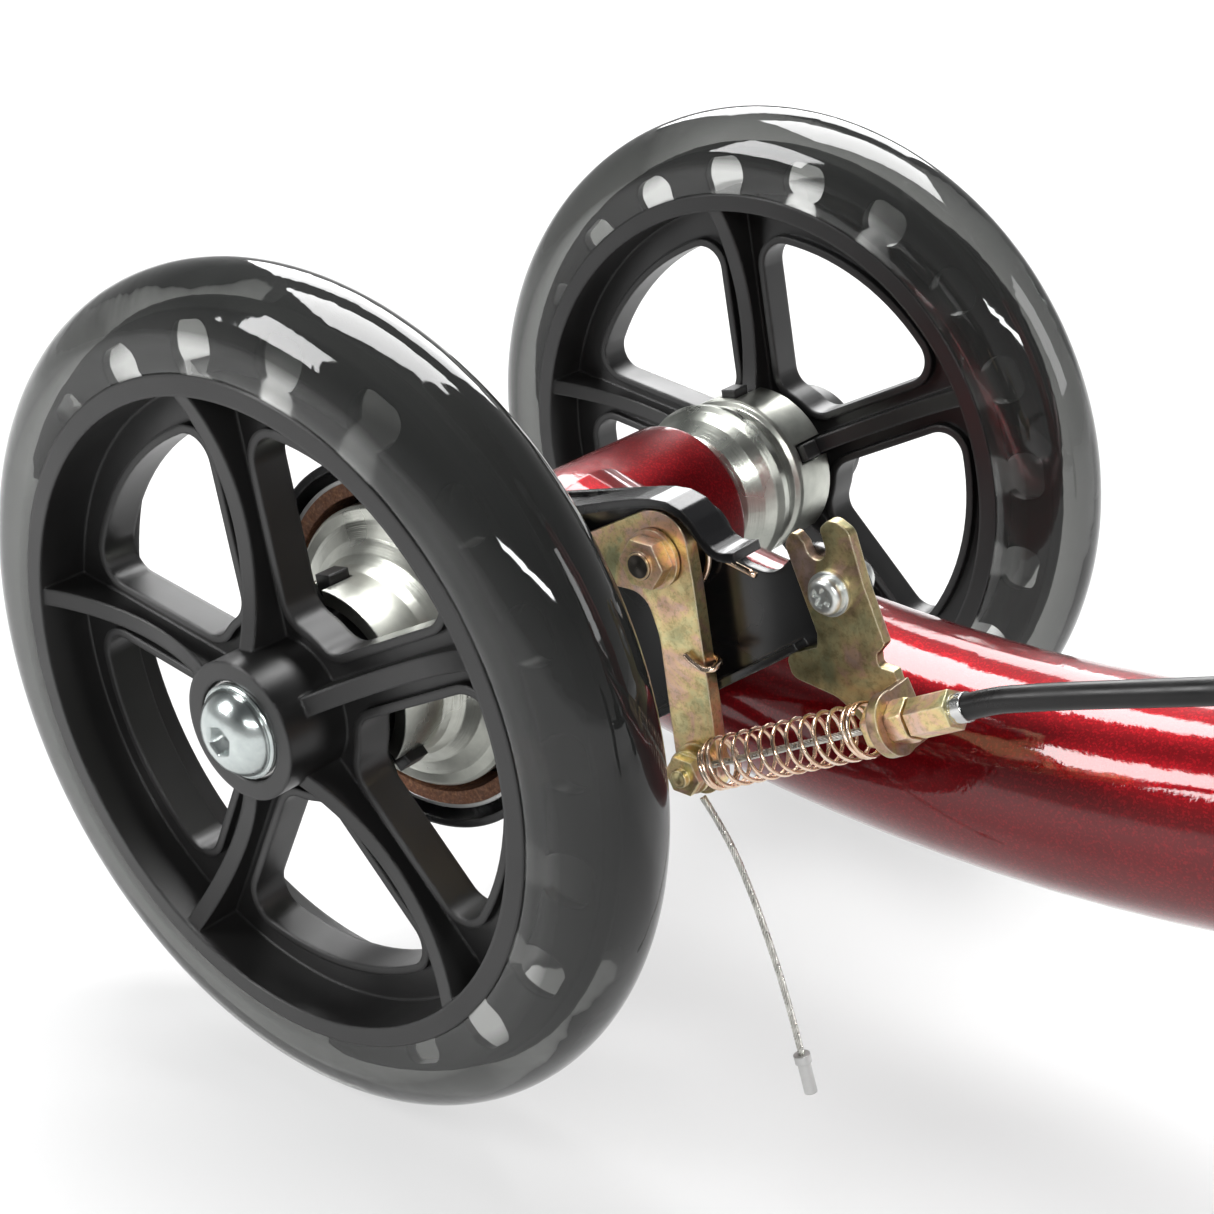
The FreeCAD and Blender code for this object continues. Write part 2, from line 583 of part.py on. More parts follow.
clamp_bolt = across(CLAMP, -61.7, front + thick + 0.1, 2).fuse(
    across_hex(CLAMP, front + thick, front + thick + 2.6, 7))
clamp_nut = across_hex(CLAMP, -60.3, -57.9, 8).cut(across(CLAMP, -62, -40, 2.02))
clamp_washers = [across(CLAMP, near, near + 1, radius).cut(across(CLAMP, -62, -40, 2.02))
                 for near, radius in ((-57.9, 5), (front - 1.05, 5.6))]
subpart("cable_clamp_bolt", feature(Part.makeCompound([clamp_bolt, clamp_nut] + clamp_washers)))


def coil_points(spot, radius, near, far, start_angle, steps):
    """Points 30 degrees apart on a coil about a Y axis, wound clockwise from a start angle."""
    points = []
    for k in range(steps + 1):
        angle = math.radians(start_angle - 30 * k)
        y = near + (far - near) * k / steps
        points.append(at_rear(spot[0] + radius * math.cos(angle), y, spot[1] + radius * math.sin(angle)))
    return points


# one and a half turns behind the crank: one leg under the hood, one down behind the crank's edge
arm_coil = coil_points(PIVOT, 9.4, -46.95, -49.45, 585, 18)
spring_route, _ = route([at_rear(80.2, -49.3, 17.4), at_rear(76.9, -48.2, 18.7), *arm_coil,
                         at_rear(80.5, -49.5, 41.6), at_rear(93.4, -50.2, 38.6)])
subpart("arm_spring", feature(tube_along(spring_route, 0.7)))

# the cable-stop bracket: two prongs, a side wing, and a round tab bent square to the cable
rise = math.radians(size("cable_rise"))
PULL = Vector(math.cos(rise), 0, math.sin(rise))
CROSS = Vector(-math.sin(rise), 0, math.cos(rise))
cable_y = -size("cable_plane")


def on_cable(along, aside=0.0, out=0.0):
    """A point by its distance from the clamp along the cable, above it and inwards of it."""
    return at_rear(CLAMP[0], cable_y + out, CLAMP[1]) + PULL * along + CROSS * aside


bracket_near, bracket_far = BACK_FACE - 2.5, BACK_FACE
stop_face = plate(from_rear([
    (99.2, 46.4, 2), (101, 50.2, 1.4), (103.8, 47.8, 1.5), (105.4, 44.6, 2.2), (109.8, 45.4, 2.2), (107.4, 51.8, 1.5),
    (109.8, 54.6, 2.6), (114.2, 52.6, 2.6), (118.1, 41.8, 0), (123.2, 30.6, 1), (121.4, 28, 0.8), (121.8, 25.4, 1.2),
    (125.5, 25.4, 0), (130.6, 14.8, 1), (121.5, 9.8, 4), (113, 15.8, 8), (101.6, 17.2, 2.5), (99.8, 21.8, 2.2),
    (107.4, 25.6, 0.8), (107.4, 28.6, 0.8),
]), bracket_near, bracket_far)
tab_at = size("tab_reach")


def along_cable(shape, along, out=0.0):
    """Places a shape, drawn with the cable along X, at a point on the cable."""
    shape.Placement = Placement(on_cable(along, 0, out), Rotation(Vector(0, 1, 0), -math.degrees(rise)))
    return shape


stop_face = stop_face.cut(along_cable(Part.makeBox(40, 20, 60, Vector(0, -10, -30)), tab_at + 1.25, 8))
tab = rod(on_cable(tab_at - 1.25), on_cable(tab_at + 1.25), 6.6)
tab_root = along_cable(Part.makeBox(2.5, 8.5, 12.6, Vector(-1.25, 0, -6.3)), tab_at)
stop = stop_face.fuse([tab, tab_root])
stop_holes = [rod(on_cable(tab_at - 5), on_cable(tab_at + 5), 2.55), across(SCREW, -52, -45, 2.55)]
subpart("cable_stop_bracket", feature(stop.cut(stop_holes).removeSplitter()))

screw_head = across(SCREW, bracket_near - 3.2, bracket_near - 0.9, 3.9)
head_rim = [e for e in screw_head.Edges if abs(e.CenterOfMass.y - (bracket_near - 3.2)) < 0.1]
screw_head = screw_head.makeFillet(1.3, head_rim)
screw_head = screw_head.fuse(across(SCREW, bracket_near - 0.9, BACK + 6, 2.5))
for turn_angle in (20, 110):
    recess = Part.makeBox(4.2, 1, 1.4, Vector(-2.1, -0.5, -0.7)).transformed(
        Placement(at_rear(SCREW[0], 0, SCREW[1]), Rotation(Vector(0, 1, 0), turn_angle)).toMatrix())
    recess.translate(Vector(0, bracket_near - 3.1, 0))
    screw_head = screw_head.cut(recess)
screw_washer = across(SCREW, bracket_near - 0.9, bracket_near, 4.8).cut(across(SCREW, -60, -30, 2.52))
screw_nut = across_hex(SCREW, BACK + 0.1, BACK + 4, 8)
screw_dome = Part.makeSphere(4.1, at_rear(SCREW[0], BACK + 4.4, SCREW[1])).cut(
    Part.makeBox(20, 10, 20, at_rear(SCREW[0] - 10, BACK - 6.6, SCREW[1] - 10)))
screw_nut = screw_nut.fuse(screw_dome).cut(across(SCREW, -60, BACK + 6.2, 2.52))
subpart("bracket_screw", feature(Part.makeCompound([screw_head, screw_washer, screw_nut])))

NUT_FLATS = 8.2
adjuster_nuts = []
for start, end in ((tab_at - 4.6, tab_at - 1.3), (tab_at + 1.3, tab_at + 5.5)):
    nut = hexagon(NUT_FLATS, on_cable(start), on_cable(end))
    adjuster_nuts.append(nut.cut(rod(on_cable(start - 1), on_cable(end + 1), 2.52)))
subpart("adjuster_nuts", feature(Part.makeCompound(adjuster_nuts)))

barrel = rod(on_cable(tab_at - 5.6), on_cable(tab_at + 6.4), 2.5)
barrel = barrel.fuse(hexagon(7.4, on_cable(tab_at + 6), on_cable(tab_at + 15.6)))
barrel = barrel.cut([rod(on_cable(tab_at - 7), on_cable(tab_at + 18), 1),
                     rod(on_cable(tab_at + 12.6), on_cable(tab_at + 18), 2.75)])
ferrule = rod(on_cable(tab_at + 12.7), on_cable(tab_at + 18.5), 2.7).fuse(
    rod(on_cable(tab_at + 15.7), on_cable(tab_at + 18.5), 3))
ferrule = ferrule.cut(rod(on_cable(tab_at + 12), on_cable(tab_at + 19), 1))
subpart("barrel_adjuster", feature(Part.makeCompound([barrel, ferrule])))

SPRING_START, SPRING_END = 8, tab_at - 5.8
spring_tube = rod(on_cable(SPRING_START), on_cable(SPRING_END), size("spring_radius"))
spring_tube = spring_tube.cut(rod(on_cable(SPRING_START), on_cable(SPRING_END), size("spring_radius - 1.1")))
subpart("return_spring", feature(spring_tube))
subpart("inner_cable_run", feature(rod(on_cable(2.6), on_cable(tab_at - 5.8), size("wire_radius"))))

TAIL = [(83.6, -14.2), (87.2, -18.2), (91.4, -24), (95.2, -31), (98.8, -38.8), (102.2, -47), (105.4, -55.6),
        (108.2, -64.2), (110, -70.4)]
tail_points = [at_rear(x, cable_y, z) for x, z in TAIL]
subpart("cable_tail", cord_solid("cable_tail", tail_points, size("wire_radius")))
tail_way = tail_points[-1] - tail_points[-2]
tail_way.normalize()
cap_collar = rod(tail_points[-1], tail_points[-1] + tail_way * 2, 1.9)
cap_barrel = rod(tail_points[-1] + tail_way * 2, tail_points[-1] + tail_way * 9.4, 1.5)
subpart("cable_end_cap", feature(cap_collar.fuse(cap_barrel)))

# ---------------------------------------------------------------- cable casing

FRAME_ROUTE = [on_cable(tab_at + 18.5), on_cable(tab_at + 25.5), at_rear(165.5, -56, 35.4), at_rear(189, -56, 43.4),
               at_rear(214, -55, 51.5), at_rear(243, -52, 59.5), at_rear(274, -47, 67), at_rear(306, -41, 74.5),
               at_rear(338, -35.5, 82), at_rear(370, -31.5, 93), at_rear(402, -30, 108), at_rear(432, -30, 124.5)]
subpart("casing_frame", cord_solid("casing_frame", FRAME_ROUTE, size("casing_radius")))

# one clip stands out from the knee post's socket, one from the climbing run of the main tube
socket_outer = Part.makeCylinder(size("socket_radius"), size("socket_top"), Vector(size("post_x"), 0, 0))
clips = []
for start, end, on_socket in ((FRAME_ROUTE[5], FRAME_ROUTE[6], True), (FRAME_ROUTE[10], FRAME_ROUTE[11], False)):
    middle = (start + end) * 0.5
    way = end - start
    way.normalize()
    hoop = rod(middle - way * 5, middle + way * 5, size("casing_radius + 1.4"))
    foot = climb_start + uphill * (middle - climb_start).dot(uphill)
    if on_socket:
        foot = Vector(size("post_x"), 0, middle.z)
    clip = hoop.fuse(rod(middle, foot, 2.6))
    clip = clip.cut([subparts["casing_frame"].Shape, main_outer, socket_outer])
    clips.append(max(clip.Solids, key=lambda s: s.Volume))
subpart("cable_clips", feature(Part.makeCompound(clips)))

STEER_LOOP = [FRAME_ROUTE[-1], further(FRAME_ROUTE, 30), at_rear(482, -33, 158), at_rear(497, -35.5, 184),
              at_rear(508, -34, 213), steer(247, -6, -31), steer(275, -6, -31)]
FOLD_LOOP = [steer(275, -6, -31), steer(303, -6, -31), steer(345, -19, -32.5), steer(388, -28, -35.5),
             steer(430, -31, -37), steer(472, -27, -35.5), steer(508, -12, -32.5), steer(534, 0, -31),
             steer(562, 0, -31)]
BAR_LOOP = [steer(562, 0, -31), steer(590, 0, -31), steer(616, 26, -27), steer(652, 43, -13), steer(692, 52, 2),
            steer(728, 50, 4), steer(756, 40, -12), steer(767, 27, -34), steer(768, 22, -58)]
for loop_name, points in (("casing_steer_loop", STEER_LOOP), ("casing_fold_loop", FOLD_LOOP),
                          ("casing_bar_loop", BAR_LOOP)):
    subpart(loop_name, cord_solid(loop_name, points, size("casing_radius")))

# ---------------------------------------------------------------- fork and steering post


def post_clip(along, ahead, left):
    """A snap clip that holds the casing off the post."""
    middle = steer(along, ahead, left)
    hoop = rod(middle - UP_STEER * 5, middle + UP_STEER * 5, size("casing_radius + 1.6"))
    leg = rod(middle, steer(along, 0, -10), 2.8)
    clip = hoop.fuse(leg).cut([rod(middle - UP_STEER * 15, middle + UP_STEER * 15, size("casing_radius + 0.1")),
                               rod(steer(along - 30), steer(along + 30), size("column_radius + 0.05"))])
    return max(clip.Solids, key=lambda s: s.Volume)


FORK_TOP = size("fold_at - 8")
post = rod(steer(8), steer(size("head_low - 3.4")), size("fork_radius"))
post = post.fuse([rod(steer(60), steer(size("head_low - 3.4")), size("fork_radius + 4")),
                  rod(steer(60), steer(size("head_high + 12")), size("steerer_radius")),
                  rod(steer(size("head_high + 3.4")), steer(FORK_TOP), size("fork_radius"))])
post = post.cut(rod(steer(24), steer(FORK_TOP - 14), size("steerer_radius - 2.7")))
front_axle = Vector(size("wheelbase / 2"), 0, size("wheel_radius"))
BEAM_HALF = size("front_track / 2 - boss_half - 8")


def beam_rod(half, radius):
    return rod(front_axle - Vector(0, half, 0), front_axle + Vector(0, half, 0), radius)


beam = beam_rod(BEAM_HALF, 16).cut(beam_rod(BEAM_HALF - 10, 13))
gusset = Part.makeBox(10, 70, 30, front_axle + Vector(-16, -35, 8))
fork = post.fuse([beam, gusset]).cut([beam_rod(200, size("axle_radius + 0.02")), beam_rod(BEAM_HALF - 10, 13)])
subpart("steering_fork", feature(Part.makeCompound([fork.removeSplitter(), post_clip(275, -6, -31)])))

HINGE = steer(size("fold_at"), -size("fold_back"))
BARREL = 8


def across_hinge(left_from, left_to, radius):
    return rod(HINGE + Vector(0, left_from, 0), HINGE + Vector(0, left_to, 0), radius)


def knuckle(low_end, high_end, barrels, gaps, gap_radius):
    """A round flange beside the hinge line, with its share of the hinge barrels."""
    flange = rod(steer(low_end), steer(high_end), 25)
    bridge = Part.makeBox(34, 36, high_end - low_end, Vector(-17, -18, 0))
    bridge.Placement = Placement(steer(low_end, -17), Rotation(Vector(0, 1, 0), -size("steer_rake")))
    body = flange.fuse([bridge] + [across_hinge(a, b, BARREL) for a, b in barrels])
    return body.cut([across_hinge(a, b, gap_radius) for a, b in gaps])


fold_at = size("fold_at")
lower = knuckle(fold_at - 8, fold_at - 0.15, [(-18, -7.2), (7.2, 18)], [(-6.9, 6.9)], BARREL + 0.4)
lower = lower.cut(across_hinge(-30, 30, 4.02))
upper = knuckle(fold_at + 0.15, fold_at + 9, [(-6.8, 6.8)], [(-30, -6.9), (6.9, 30)], BARREL + 0.4)
pin = across_hinge(-20, 20, 4).fuse([across_hinge(-21.5, -18.2, 5.6), across_hinge(18.2, 21.5, 5.6)])
LATCH_AT = steer(fold_at - 15, 31)
latch_ears = [rod(LATCH_AT + Vector(0, y, 0), LATCH_AT + Vector(0, y + 4, 0), 6).fuse(
    Part.makeBox(17, 4, 7, Vector(-17, y, -3)).transformed(
        Placement(LATCH_AT, Rotation(Vector(0, 1, 0), -size("steer_rake"))).toMatrix())) for y in (-11.5, 7.5)]
lower = lower.fuse(latch_ears + [rod(steer(fold_at - 22), steer(fold_at - 8), 19)])
lower = lower.cut([rod(steer(fold_at - 30), steer(FORK_TOP), size("fork_radius")),
                   rod(LATCH_AT - Vector(0, 20, 0), LATCH_AT + Vector(0, 20, 0), 2.52)])
latch_pin = rod(LATCH_AT - Vector(0, 12, 0), LATCH_AT + Vector(0, 12, 0), 2.5)
subpart("fold_knuckle", feature(Part.makeCompound([lower.removeSplitter(), pin, latch_pin])))

# the latch stands ahead of both flanges, its tail turned out for a fingertip
latch = Part.makeBox(5, 14, 30, Vector(-3, -7, 0)).transformed(
    Placement(LATCH_AT, Rotation(Vector(0, 1, 0), -size("steer_rake"))).toMatrix())
latch_tail = Part.makeBox(4.4, 14, 22, Vector(-2.4, -7, 0)).transformed(
    Placement(steer(fold_at + 12, 30.2), Rotation(Vector(0, 1, 0), 28 - size("steer_rake"))).toMatrix())
latch = latch.fuse([latch_tail, rod(LATCH_AT - Vector(0, 7, 0), LATCH_AT + Vector(0, 7, 0), 5.5)])
latch = latch.cut(rod(LATCH_AT - Vector(0, 20, 0), LATCH_AT + Vector(0, 20, 0), 2.55))
subpart("fold_latch", feature(latch.removeSplitter()))

COLUMN_TOP = size("column_top")
column = rod(steer(fold_at + 9), steer(COLUMN_TOP), size("column_radius"))
column_ears = Part.makeBox(24, 22, 26, Vector(0, 0, 0))
column_ears.Placement = Placement(steer(COLUMN_TOP - 28, 10, -11), Rotation(Vector(0, 1, 0), -size("steer_rake")))
column_slit = Part.makeBox(50, 3, 60, Vector(0, 0, 0))
column_slit.Placement = Placement(steer(COLUMN_TOP - 55, 0, -1.5), Rotation(Vector(0, 1, 0), -size("steer_rake")))
column = column.fuse([column_ears, upper])
column_hole = rod(steer(COLUMN_TOP - 15, 26, -30), steer(COLUMN_TOP - 15, 26, 30), 3.1)
column = column.cut([rod(steer(fold_at + 30), steer(COLUMN_TOP + 1), size("column_bore")), column_slit, column_hole,
                     across_hinge(-30, 30, 4.05)])
subpart("column", feature(Part.makeCompound([column.removeSplitter(), post_clip(562, 0, -31)])))

bar_centre = steer(size("bar_at"))


def bar_run(start, end, radius):
    """A length of the handlebar's cross tube, from one distance left of its middle to another."""
    return rod(bar_centre + Vector(0, start, 0), bar_centre + Vector(0, end, 0), radius)


BAR_HALF = size("bar_half")
stem = rod(steer(size("stem_low")), steer(size("bar_at")), size("stem_radius"))
stem_cap = rod(steer(size("bar_at") - 22), steer(size("bar_at") + 2), size("stem_radius + 2.2"))
handlebar = stem.fuse([bar_run(-BAR_HALF, BAR_HALF, size("bar_radius")), stem_cap])
handlebar = handlebar.cut([bar_run(-BAR_HALF - 1, -20, size("bar_radius - 2")),
                           bar_run(20, BAR_HALF + 1, size("bar_radius - 2")),
                           rod(steer(size("stem_low - 1")), steer(size("bar_at") - 26), size("stem_radius - 2"))])
subpart("handlebar", feature(handlebar.removeSplitter()))

grips = []
for side in (-1, 1):
    inner_end = bar_centre + Vector(0, side * (BAR_HALF - size("grip_long")), 0)
    outer_end = bar_centre + Vector(0, side * (BAR_HALF + 4), 0)
    grip = rod(inner_end, outer_end, size("grip_radius"))
    grip = grip.makeFillet(4, [e for e in grip.Edges if len(e.Vertexes) == 1])
    stop_end = bar_centre + Vector(0, side * BAR_HALF, 0)
    grips.append(grip.cut(rod(inner_end - Vector(0, side * 5, 0), stop_end, size("bar_radius"))))
subpart("grips", feature(Part.makeCompound(grips)))

# ---------------------------------------------------------------- hand brake


def in_steer(shape, along, ahead, left):
    """Places a shape, drawn with X ahead and Z up the steering axis, at a point of the steering frame."""
    shape.Placement = Placement(steer(along, ahead, left), Rotation(Vector(0, 1, 0), -size("steer_rake")))
    return shape


BAR_AT, PERCH_Y, PIN_AHEAD = size("bar_at"), -77, 34
lever_pin = steer(BAR_AT, PIN_AHEAD, PERCH_Y)
bar_bore = bar_run(-120, -40, size("bar_radius"))
perch = bar_run(PERCH_Y - 9, PERCH_Y + 9, 15)
perch = perch.fuse([
    in_steer(Part.makeBox(14, 18, 20, Vector(0, -9, -10)), BAR_AT, 12, PERCH_Y),
    in_steer(Part.makeBox(PIN_AHEAD - 20, 18, 4, Vector(0, -9, 5)), BAR_AT, 20, PERCH_Y),
    in_steer(Part.makeBox(PIN_AHEAD - 20, 18, 4, Vector(0, -9, -9)), BAR_AT, 20, PERCH_Y),
    rod(lever_pin + UP_STEER * 5, lever_pin + UP_STEER * 9, 9),
    rod(lever_pin - UP_STEER * 9, lever_pin - UP_STEER * 5, 9),
    rod(steer(BAR_AT - 2, 22, PERCH_Y), steer(BAR_AT - 2, 22, -58.2), 5),
])
perch = perch.cut([bar_bore, rod(lever_pin - UP_STEER * 20, lever_pin + UP_STEER * 20, 2.52),
                   rod(steer(BAR_AT - 2, 22, -64), steer(BAR_AT - 2, 22, -58), 2.7),
                   rod(lever_pin - UP_STEER * 5, lever_pin + UP_STEER * 5, 10)])
pin_shape = rod(lever_pin - UP_STEER * 10, lever_pin + UP_STEER * 10, 2.5)
subpart("brake_perch", feature(Part.makeCompound([perch.removeSplitter(), pin_shape])))

lever_route = [steer(BAR_AT, PIN_AHEAD + 1, PERCH_Y), steer(BAR_AT, PIN_AHEAD + 13, PERCH_Y - 15),
               steer(BAR_AT, PIN_AHEAD + 22, PERCH_Y - 44), steer(BAR_AT, PIN_AHEAD + 20, PERCH_Y - 78),
               steer(BAR_AT, PIN_AHEAD + 26, PERCH_Y - 106)]
lever_path, _ = route(lever_route)
blade = tube_along(lever_path, 4.2)
lever_eye = rod(lever_pin - UP_STEER * 4.4, lever_pin + UP_STEER * 4.4, 8.4)
blade = blade.fuse([lever_eye, Part.makeSphere(5.4, lever_route[-1])])
blade = blade.cut(rod(lever_pin - UP_STEER * 20, lever_pin + UP_STEER * 20, 2.55))
subpart("hand_brake_lever", feature(blade))

# ---------------------------------------------------------------- knee rest

post_at = Vector(size("post_x"), 0, 0)
post_low, deck_height = size("post_low"), size("deck_height")
post_radius = size("post_radius")


def post_disc(radius, low_end, high_end):
    return Part.makeCylinder(radius, high_end - low_end, post_at + Vector(0, 0, low_end))


knee_tube = post_disc(post_radius, post_low, deck_height).cut(
    post_disc(post_radius - 2.5, post_low, deck_height - 10))
flare = Part.makeCone(post_radius, post_radius + 14, 22, post_at + Vector(0, 0, deck_height - 22))
flare = flare.cut(post_disc(post_radius, deck_height - 30, deck_height + 10))
subpart("knee_post", feature(Part.makeCompound([knee_tube, flare])))

deck_long, deck_wide = size("pad_long - 50"), size("2 * pad_wide + pad_apart - 40")
pad_x = size("pad_x")
deck = plate([(pad_x - deck_long / 2, 0, 18), (pad_x + deck_long / 2, 0, 18), (pad_x + deck_long / 2, deck_wide, 18),
              (pad_x - deck_long / 2, deck_wide, 18)], 0, size("deck_thick"))
deck.rotate(Vector(), Vector(1, 0, 0), 90)
deck = deck.translated(Vector(0, deck.BoundBox.YMin * -1 - deck_wide / 2,
                              size("deck_height") - deck.BoundBox.ZMin))
runners = [Part.makeBox(deck_long - 60, 3, 14, Vector(pad_x - deck_long / 2 + 30, y, size("deck_height - 14")))
           for y in (-48, 45)]
runners.append(Part.makeBox(3, 93, 14, Vector(pad_x - 60, -46.5, size("deck_height - 14"))))
runners.append(Part.makeBox(3, 93, 14, Vector(pad_x + 90, -46.5, size("deck_height - 14"))))
deck = deck.fuse(runners)
subpart("knee_deck", feature(deck))

for side, name in ((1, "left"), (-1, "right")):
    y_low = size("pad_apart / 2") if side > 0 else -size("pad_apart / 2 + pad_wide")
    foot = size("deck_height + deck_thick")
    pad = Part.makeBox(size("pad_long"), size("pad_wide"), size("pad_top") - foot,
                       Vector(pad_x - size("pad_long / 2"), y_low, foot))
    upright = [e for e in pad.Edges if e.BoundBox.ZLength > 30]
    pad = pad.makeFillet(26, upright)
    pad = pad.makeFillet(12, [e for e in pad.Edges if e.BoundBox.ZMin > size("pad_top") - 0.01])
    subpart(f"knee_pad_{name}", feature(pad))

# ---------------------------------------------------------------- quick-release levers


def release(eye, way_back, up):
    """A cam lever on the end of a clamp bolt: eye at the bolt's end, blade lying back along the tube."""
    bolt = rod(eye - Vector(0, 29, 0), eye + Vector(0, 5, 0), 3)
    bolt = bolt.fuse(rod(eye - Vector(0, 32, 0), eye - Vector(0, 28.3, 0), 6.5))
    eye_top = eye + Vector(0, 5, 0)
    cam = rod(eye_top - up * 6.5, eye_top + up * 6.5, 7)
    tip = eye_top + way_back * 62 + Vector(0, 12, 0)
    blade_path, _ = route([eye_top + Vector(0, 3, 0), eye_top + way_back * 28 + Vector(0, 9, 0), tip])
    lever = cam.fuse([tube_along(blade_path, 4.6), Part.makeSphere(4.6, tip)])
    return bolt.cut(rod(eye_top - up * 15, eye_top + up * 15, 7.35)), lever


knee_bolt, knee_lever = release(Vector(ear_x, 17, ear_z), Vector(-1, 0, 0), Vector(0, 0, 1))
subpart("knee_clamp_bolt", feature(knee_bolt))
subpart("knee_clamp_lever", feature(knee_lever))
stem_bolt, stem_lever = release(steer(COLUMN_TOP - 15, 26, 17), AHEAD * -1, UP_STEER)
subpart("stem_clamp_bolt", feature(stem_bolt))
subpart("stem_clamp_lever", feature(stem_lever))

# ---------------------------------------------------------------- check and write

doc.recompute()
for obj in doc.Objects:
    if "Invalid" in obj.State or "Error" in obj.State:
        raise RuntimeError(f"{obj.Label} failed: {obj.State}")
for node, obj in subparts.items():
    if obj.Shape.isNull() or not obj.Shape.isValid():
        raise RuntimeError(f"{node} has no valid shape")
for node, obj in subparts.items():
    obj.Shape.exportStep(f"parts/{node}.step")
print(f"{len(subparts)} sub-parts written")
for node, obj in subparts.items():
    b = obj.Shape.BoundBox
    print(f"{node:22s} solids {len(obj.Shape.Solids)} x {b.XMin:.1f} {b.XMax:.1f} y {b.YMin:.1f} {b.YMax:.1f} "
          f"z {b.ZMin:.1f} {b.ZMax:.1f}")
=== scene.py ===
import math

import bmesh
import bpy
import numpy as np
from mathutils import Matrix, Vector
from mathutils.bvhtree import BVHTree


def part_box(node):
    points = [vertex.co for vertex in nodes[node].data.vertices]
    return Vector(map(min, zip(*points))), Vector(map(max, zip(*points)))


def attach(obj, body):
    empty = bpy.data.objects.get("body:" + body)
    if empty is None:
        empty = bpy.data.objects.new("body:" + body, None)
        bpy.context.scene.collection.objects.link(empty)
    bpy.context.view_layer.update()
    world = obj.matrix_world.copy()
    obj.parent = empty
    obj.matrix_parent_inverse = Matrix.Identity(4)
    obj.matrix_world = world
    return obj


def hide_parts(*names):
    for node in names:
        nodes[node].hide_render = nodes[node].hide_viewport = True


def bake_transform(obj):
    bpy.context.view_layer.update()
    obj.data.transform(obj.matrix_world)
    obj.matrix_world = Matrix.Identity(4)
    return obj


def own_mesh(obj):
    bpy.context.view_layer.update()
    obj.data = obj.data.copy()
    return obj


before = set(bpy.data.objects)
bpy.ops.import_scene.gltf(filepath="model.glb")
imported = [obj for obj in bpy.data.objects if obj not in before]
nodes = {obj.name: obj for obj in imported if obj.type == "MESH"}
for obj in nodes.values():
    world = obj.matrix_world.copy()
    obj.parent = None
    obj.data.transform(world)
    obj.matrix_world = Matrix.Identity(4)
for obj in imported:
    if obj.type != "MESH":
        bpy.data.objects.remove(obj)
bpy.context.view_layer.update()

scene = bpy.context.scene
MM = 0.001

# ---------------------------------------------------------------- camera


def make_camera():
    """The photograph's view: beside the braked rear wheel, ahead of it and a little above."""
    right = Vector((0.77596844, 0.63005525, -0.03005606))
    up = Vector((-0.24480339, 0.34472707, 0.90621992))
    forward = Vector((-0.58132975, 0.69584024, -0.42173698))
    data = bpy.data.cameras.new("Camera")
    camera = bpy.data.objects.new("Camera", data)
    scene.collection.objects.link(camera)
    turn = Matrix((right, up, -forward)).transposed().to_4x4()
    camera.matrix_world = Matrix.Translation((0.013773, -0.349643, 0.302263)) @ turn
    data.sensor_width = 36
    data.lens = 58.17
    data.clip_start = 0.01
    scene.camera = camera


make_camera()

# ---------------------------------------------------------------- frame of the model

REAR_AXLE = Vector((-0.29, 0, 0.1))
RAKE = math.radians(12)
UP_STEER = Vector((-math.sin(RAKE), 0, math.cos(RAKE)))
AHEAD = Vector((math.cos(RAKE), 0, math.sin(RAKE)))
STEER_FOOT = Vector((0.275, 0, 0.1))
RISE = math.radians(28.5)
PULL = Vector((math.cos(RISE), 0, math.sin(RISE)))
CROSS = Vector((-math.sin(RISE), 0, math.cos(RISE)))
CLAMP = REAR_AXLE + Vector((0.0813, -0.056, -0.008))
PIVOT = REAR_AXLE + Vector((0.0705, 0, 0.0383))


def rear(x, y, z):
    """A point in millimetres from the middle of the rear axle."""
    return REAR_AXLE + Vector((x, y, z)) * MM


def steer(along, ahead=0.0, left=0.0):
    """A point in millimetres along the steering axis, ahead of it and to its left."""
    return STEER_FOOT + (UP_STEER * along + AHEAD * ahead + Vector((0, left, 0))) * MM


def on_cable(along, aside=0.0):
    return CLAMP + (PULL * along + CROSS * aside) * MM


# ---------------------------------------------------------------- materials

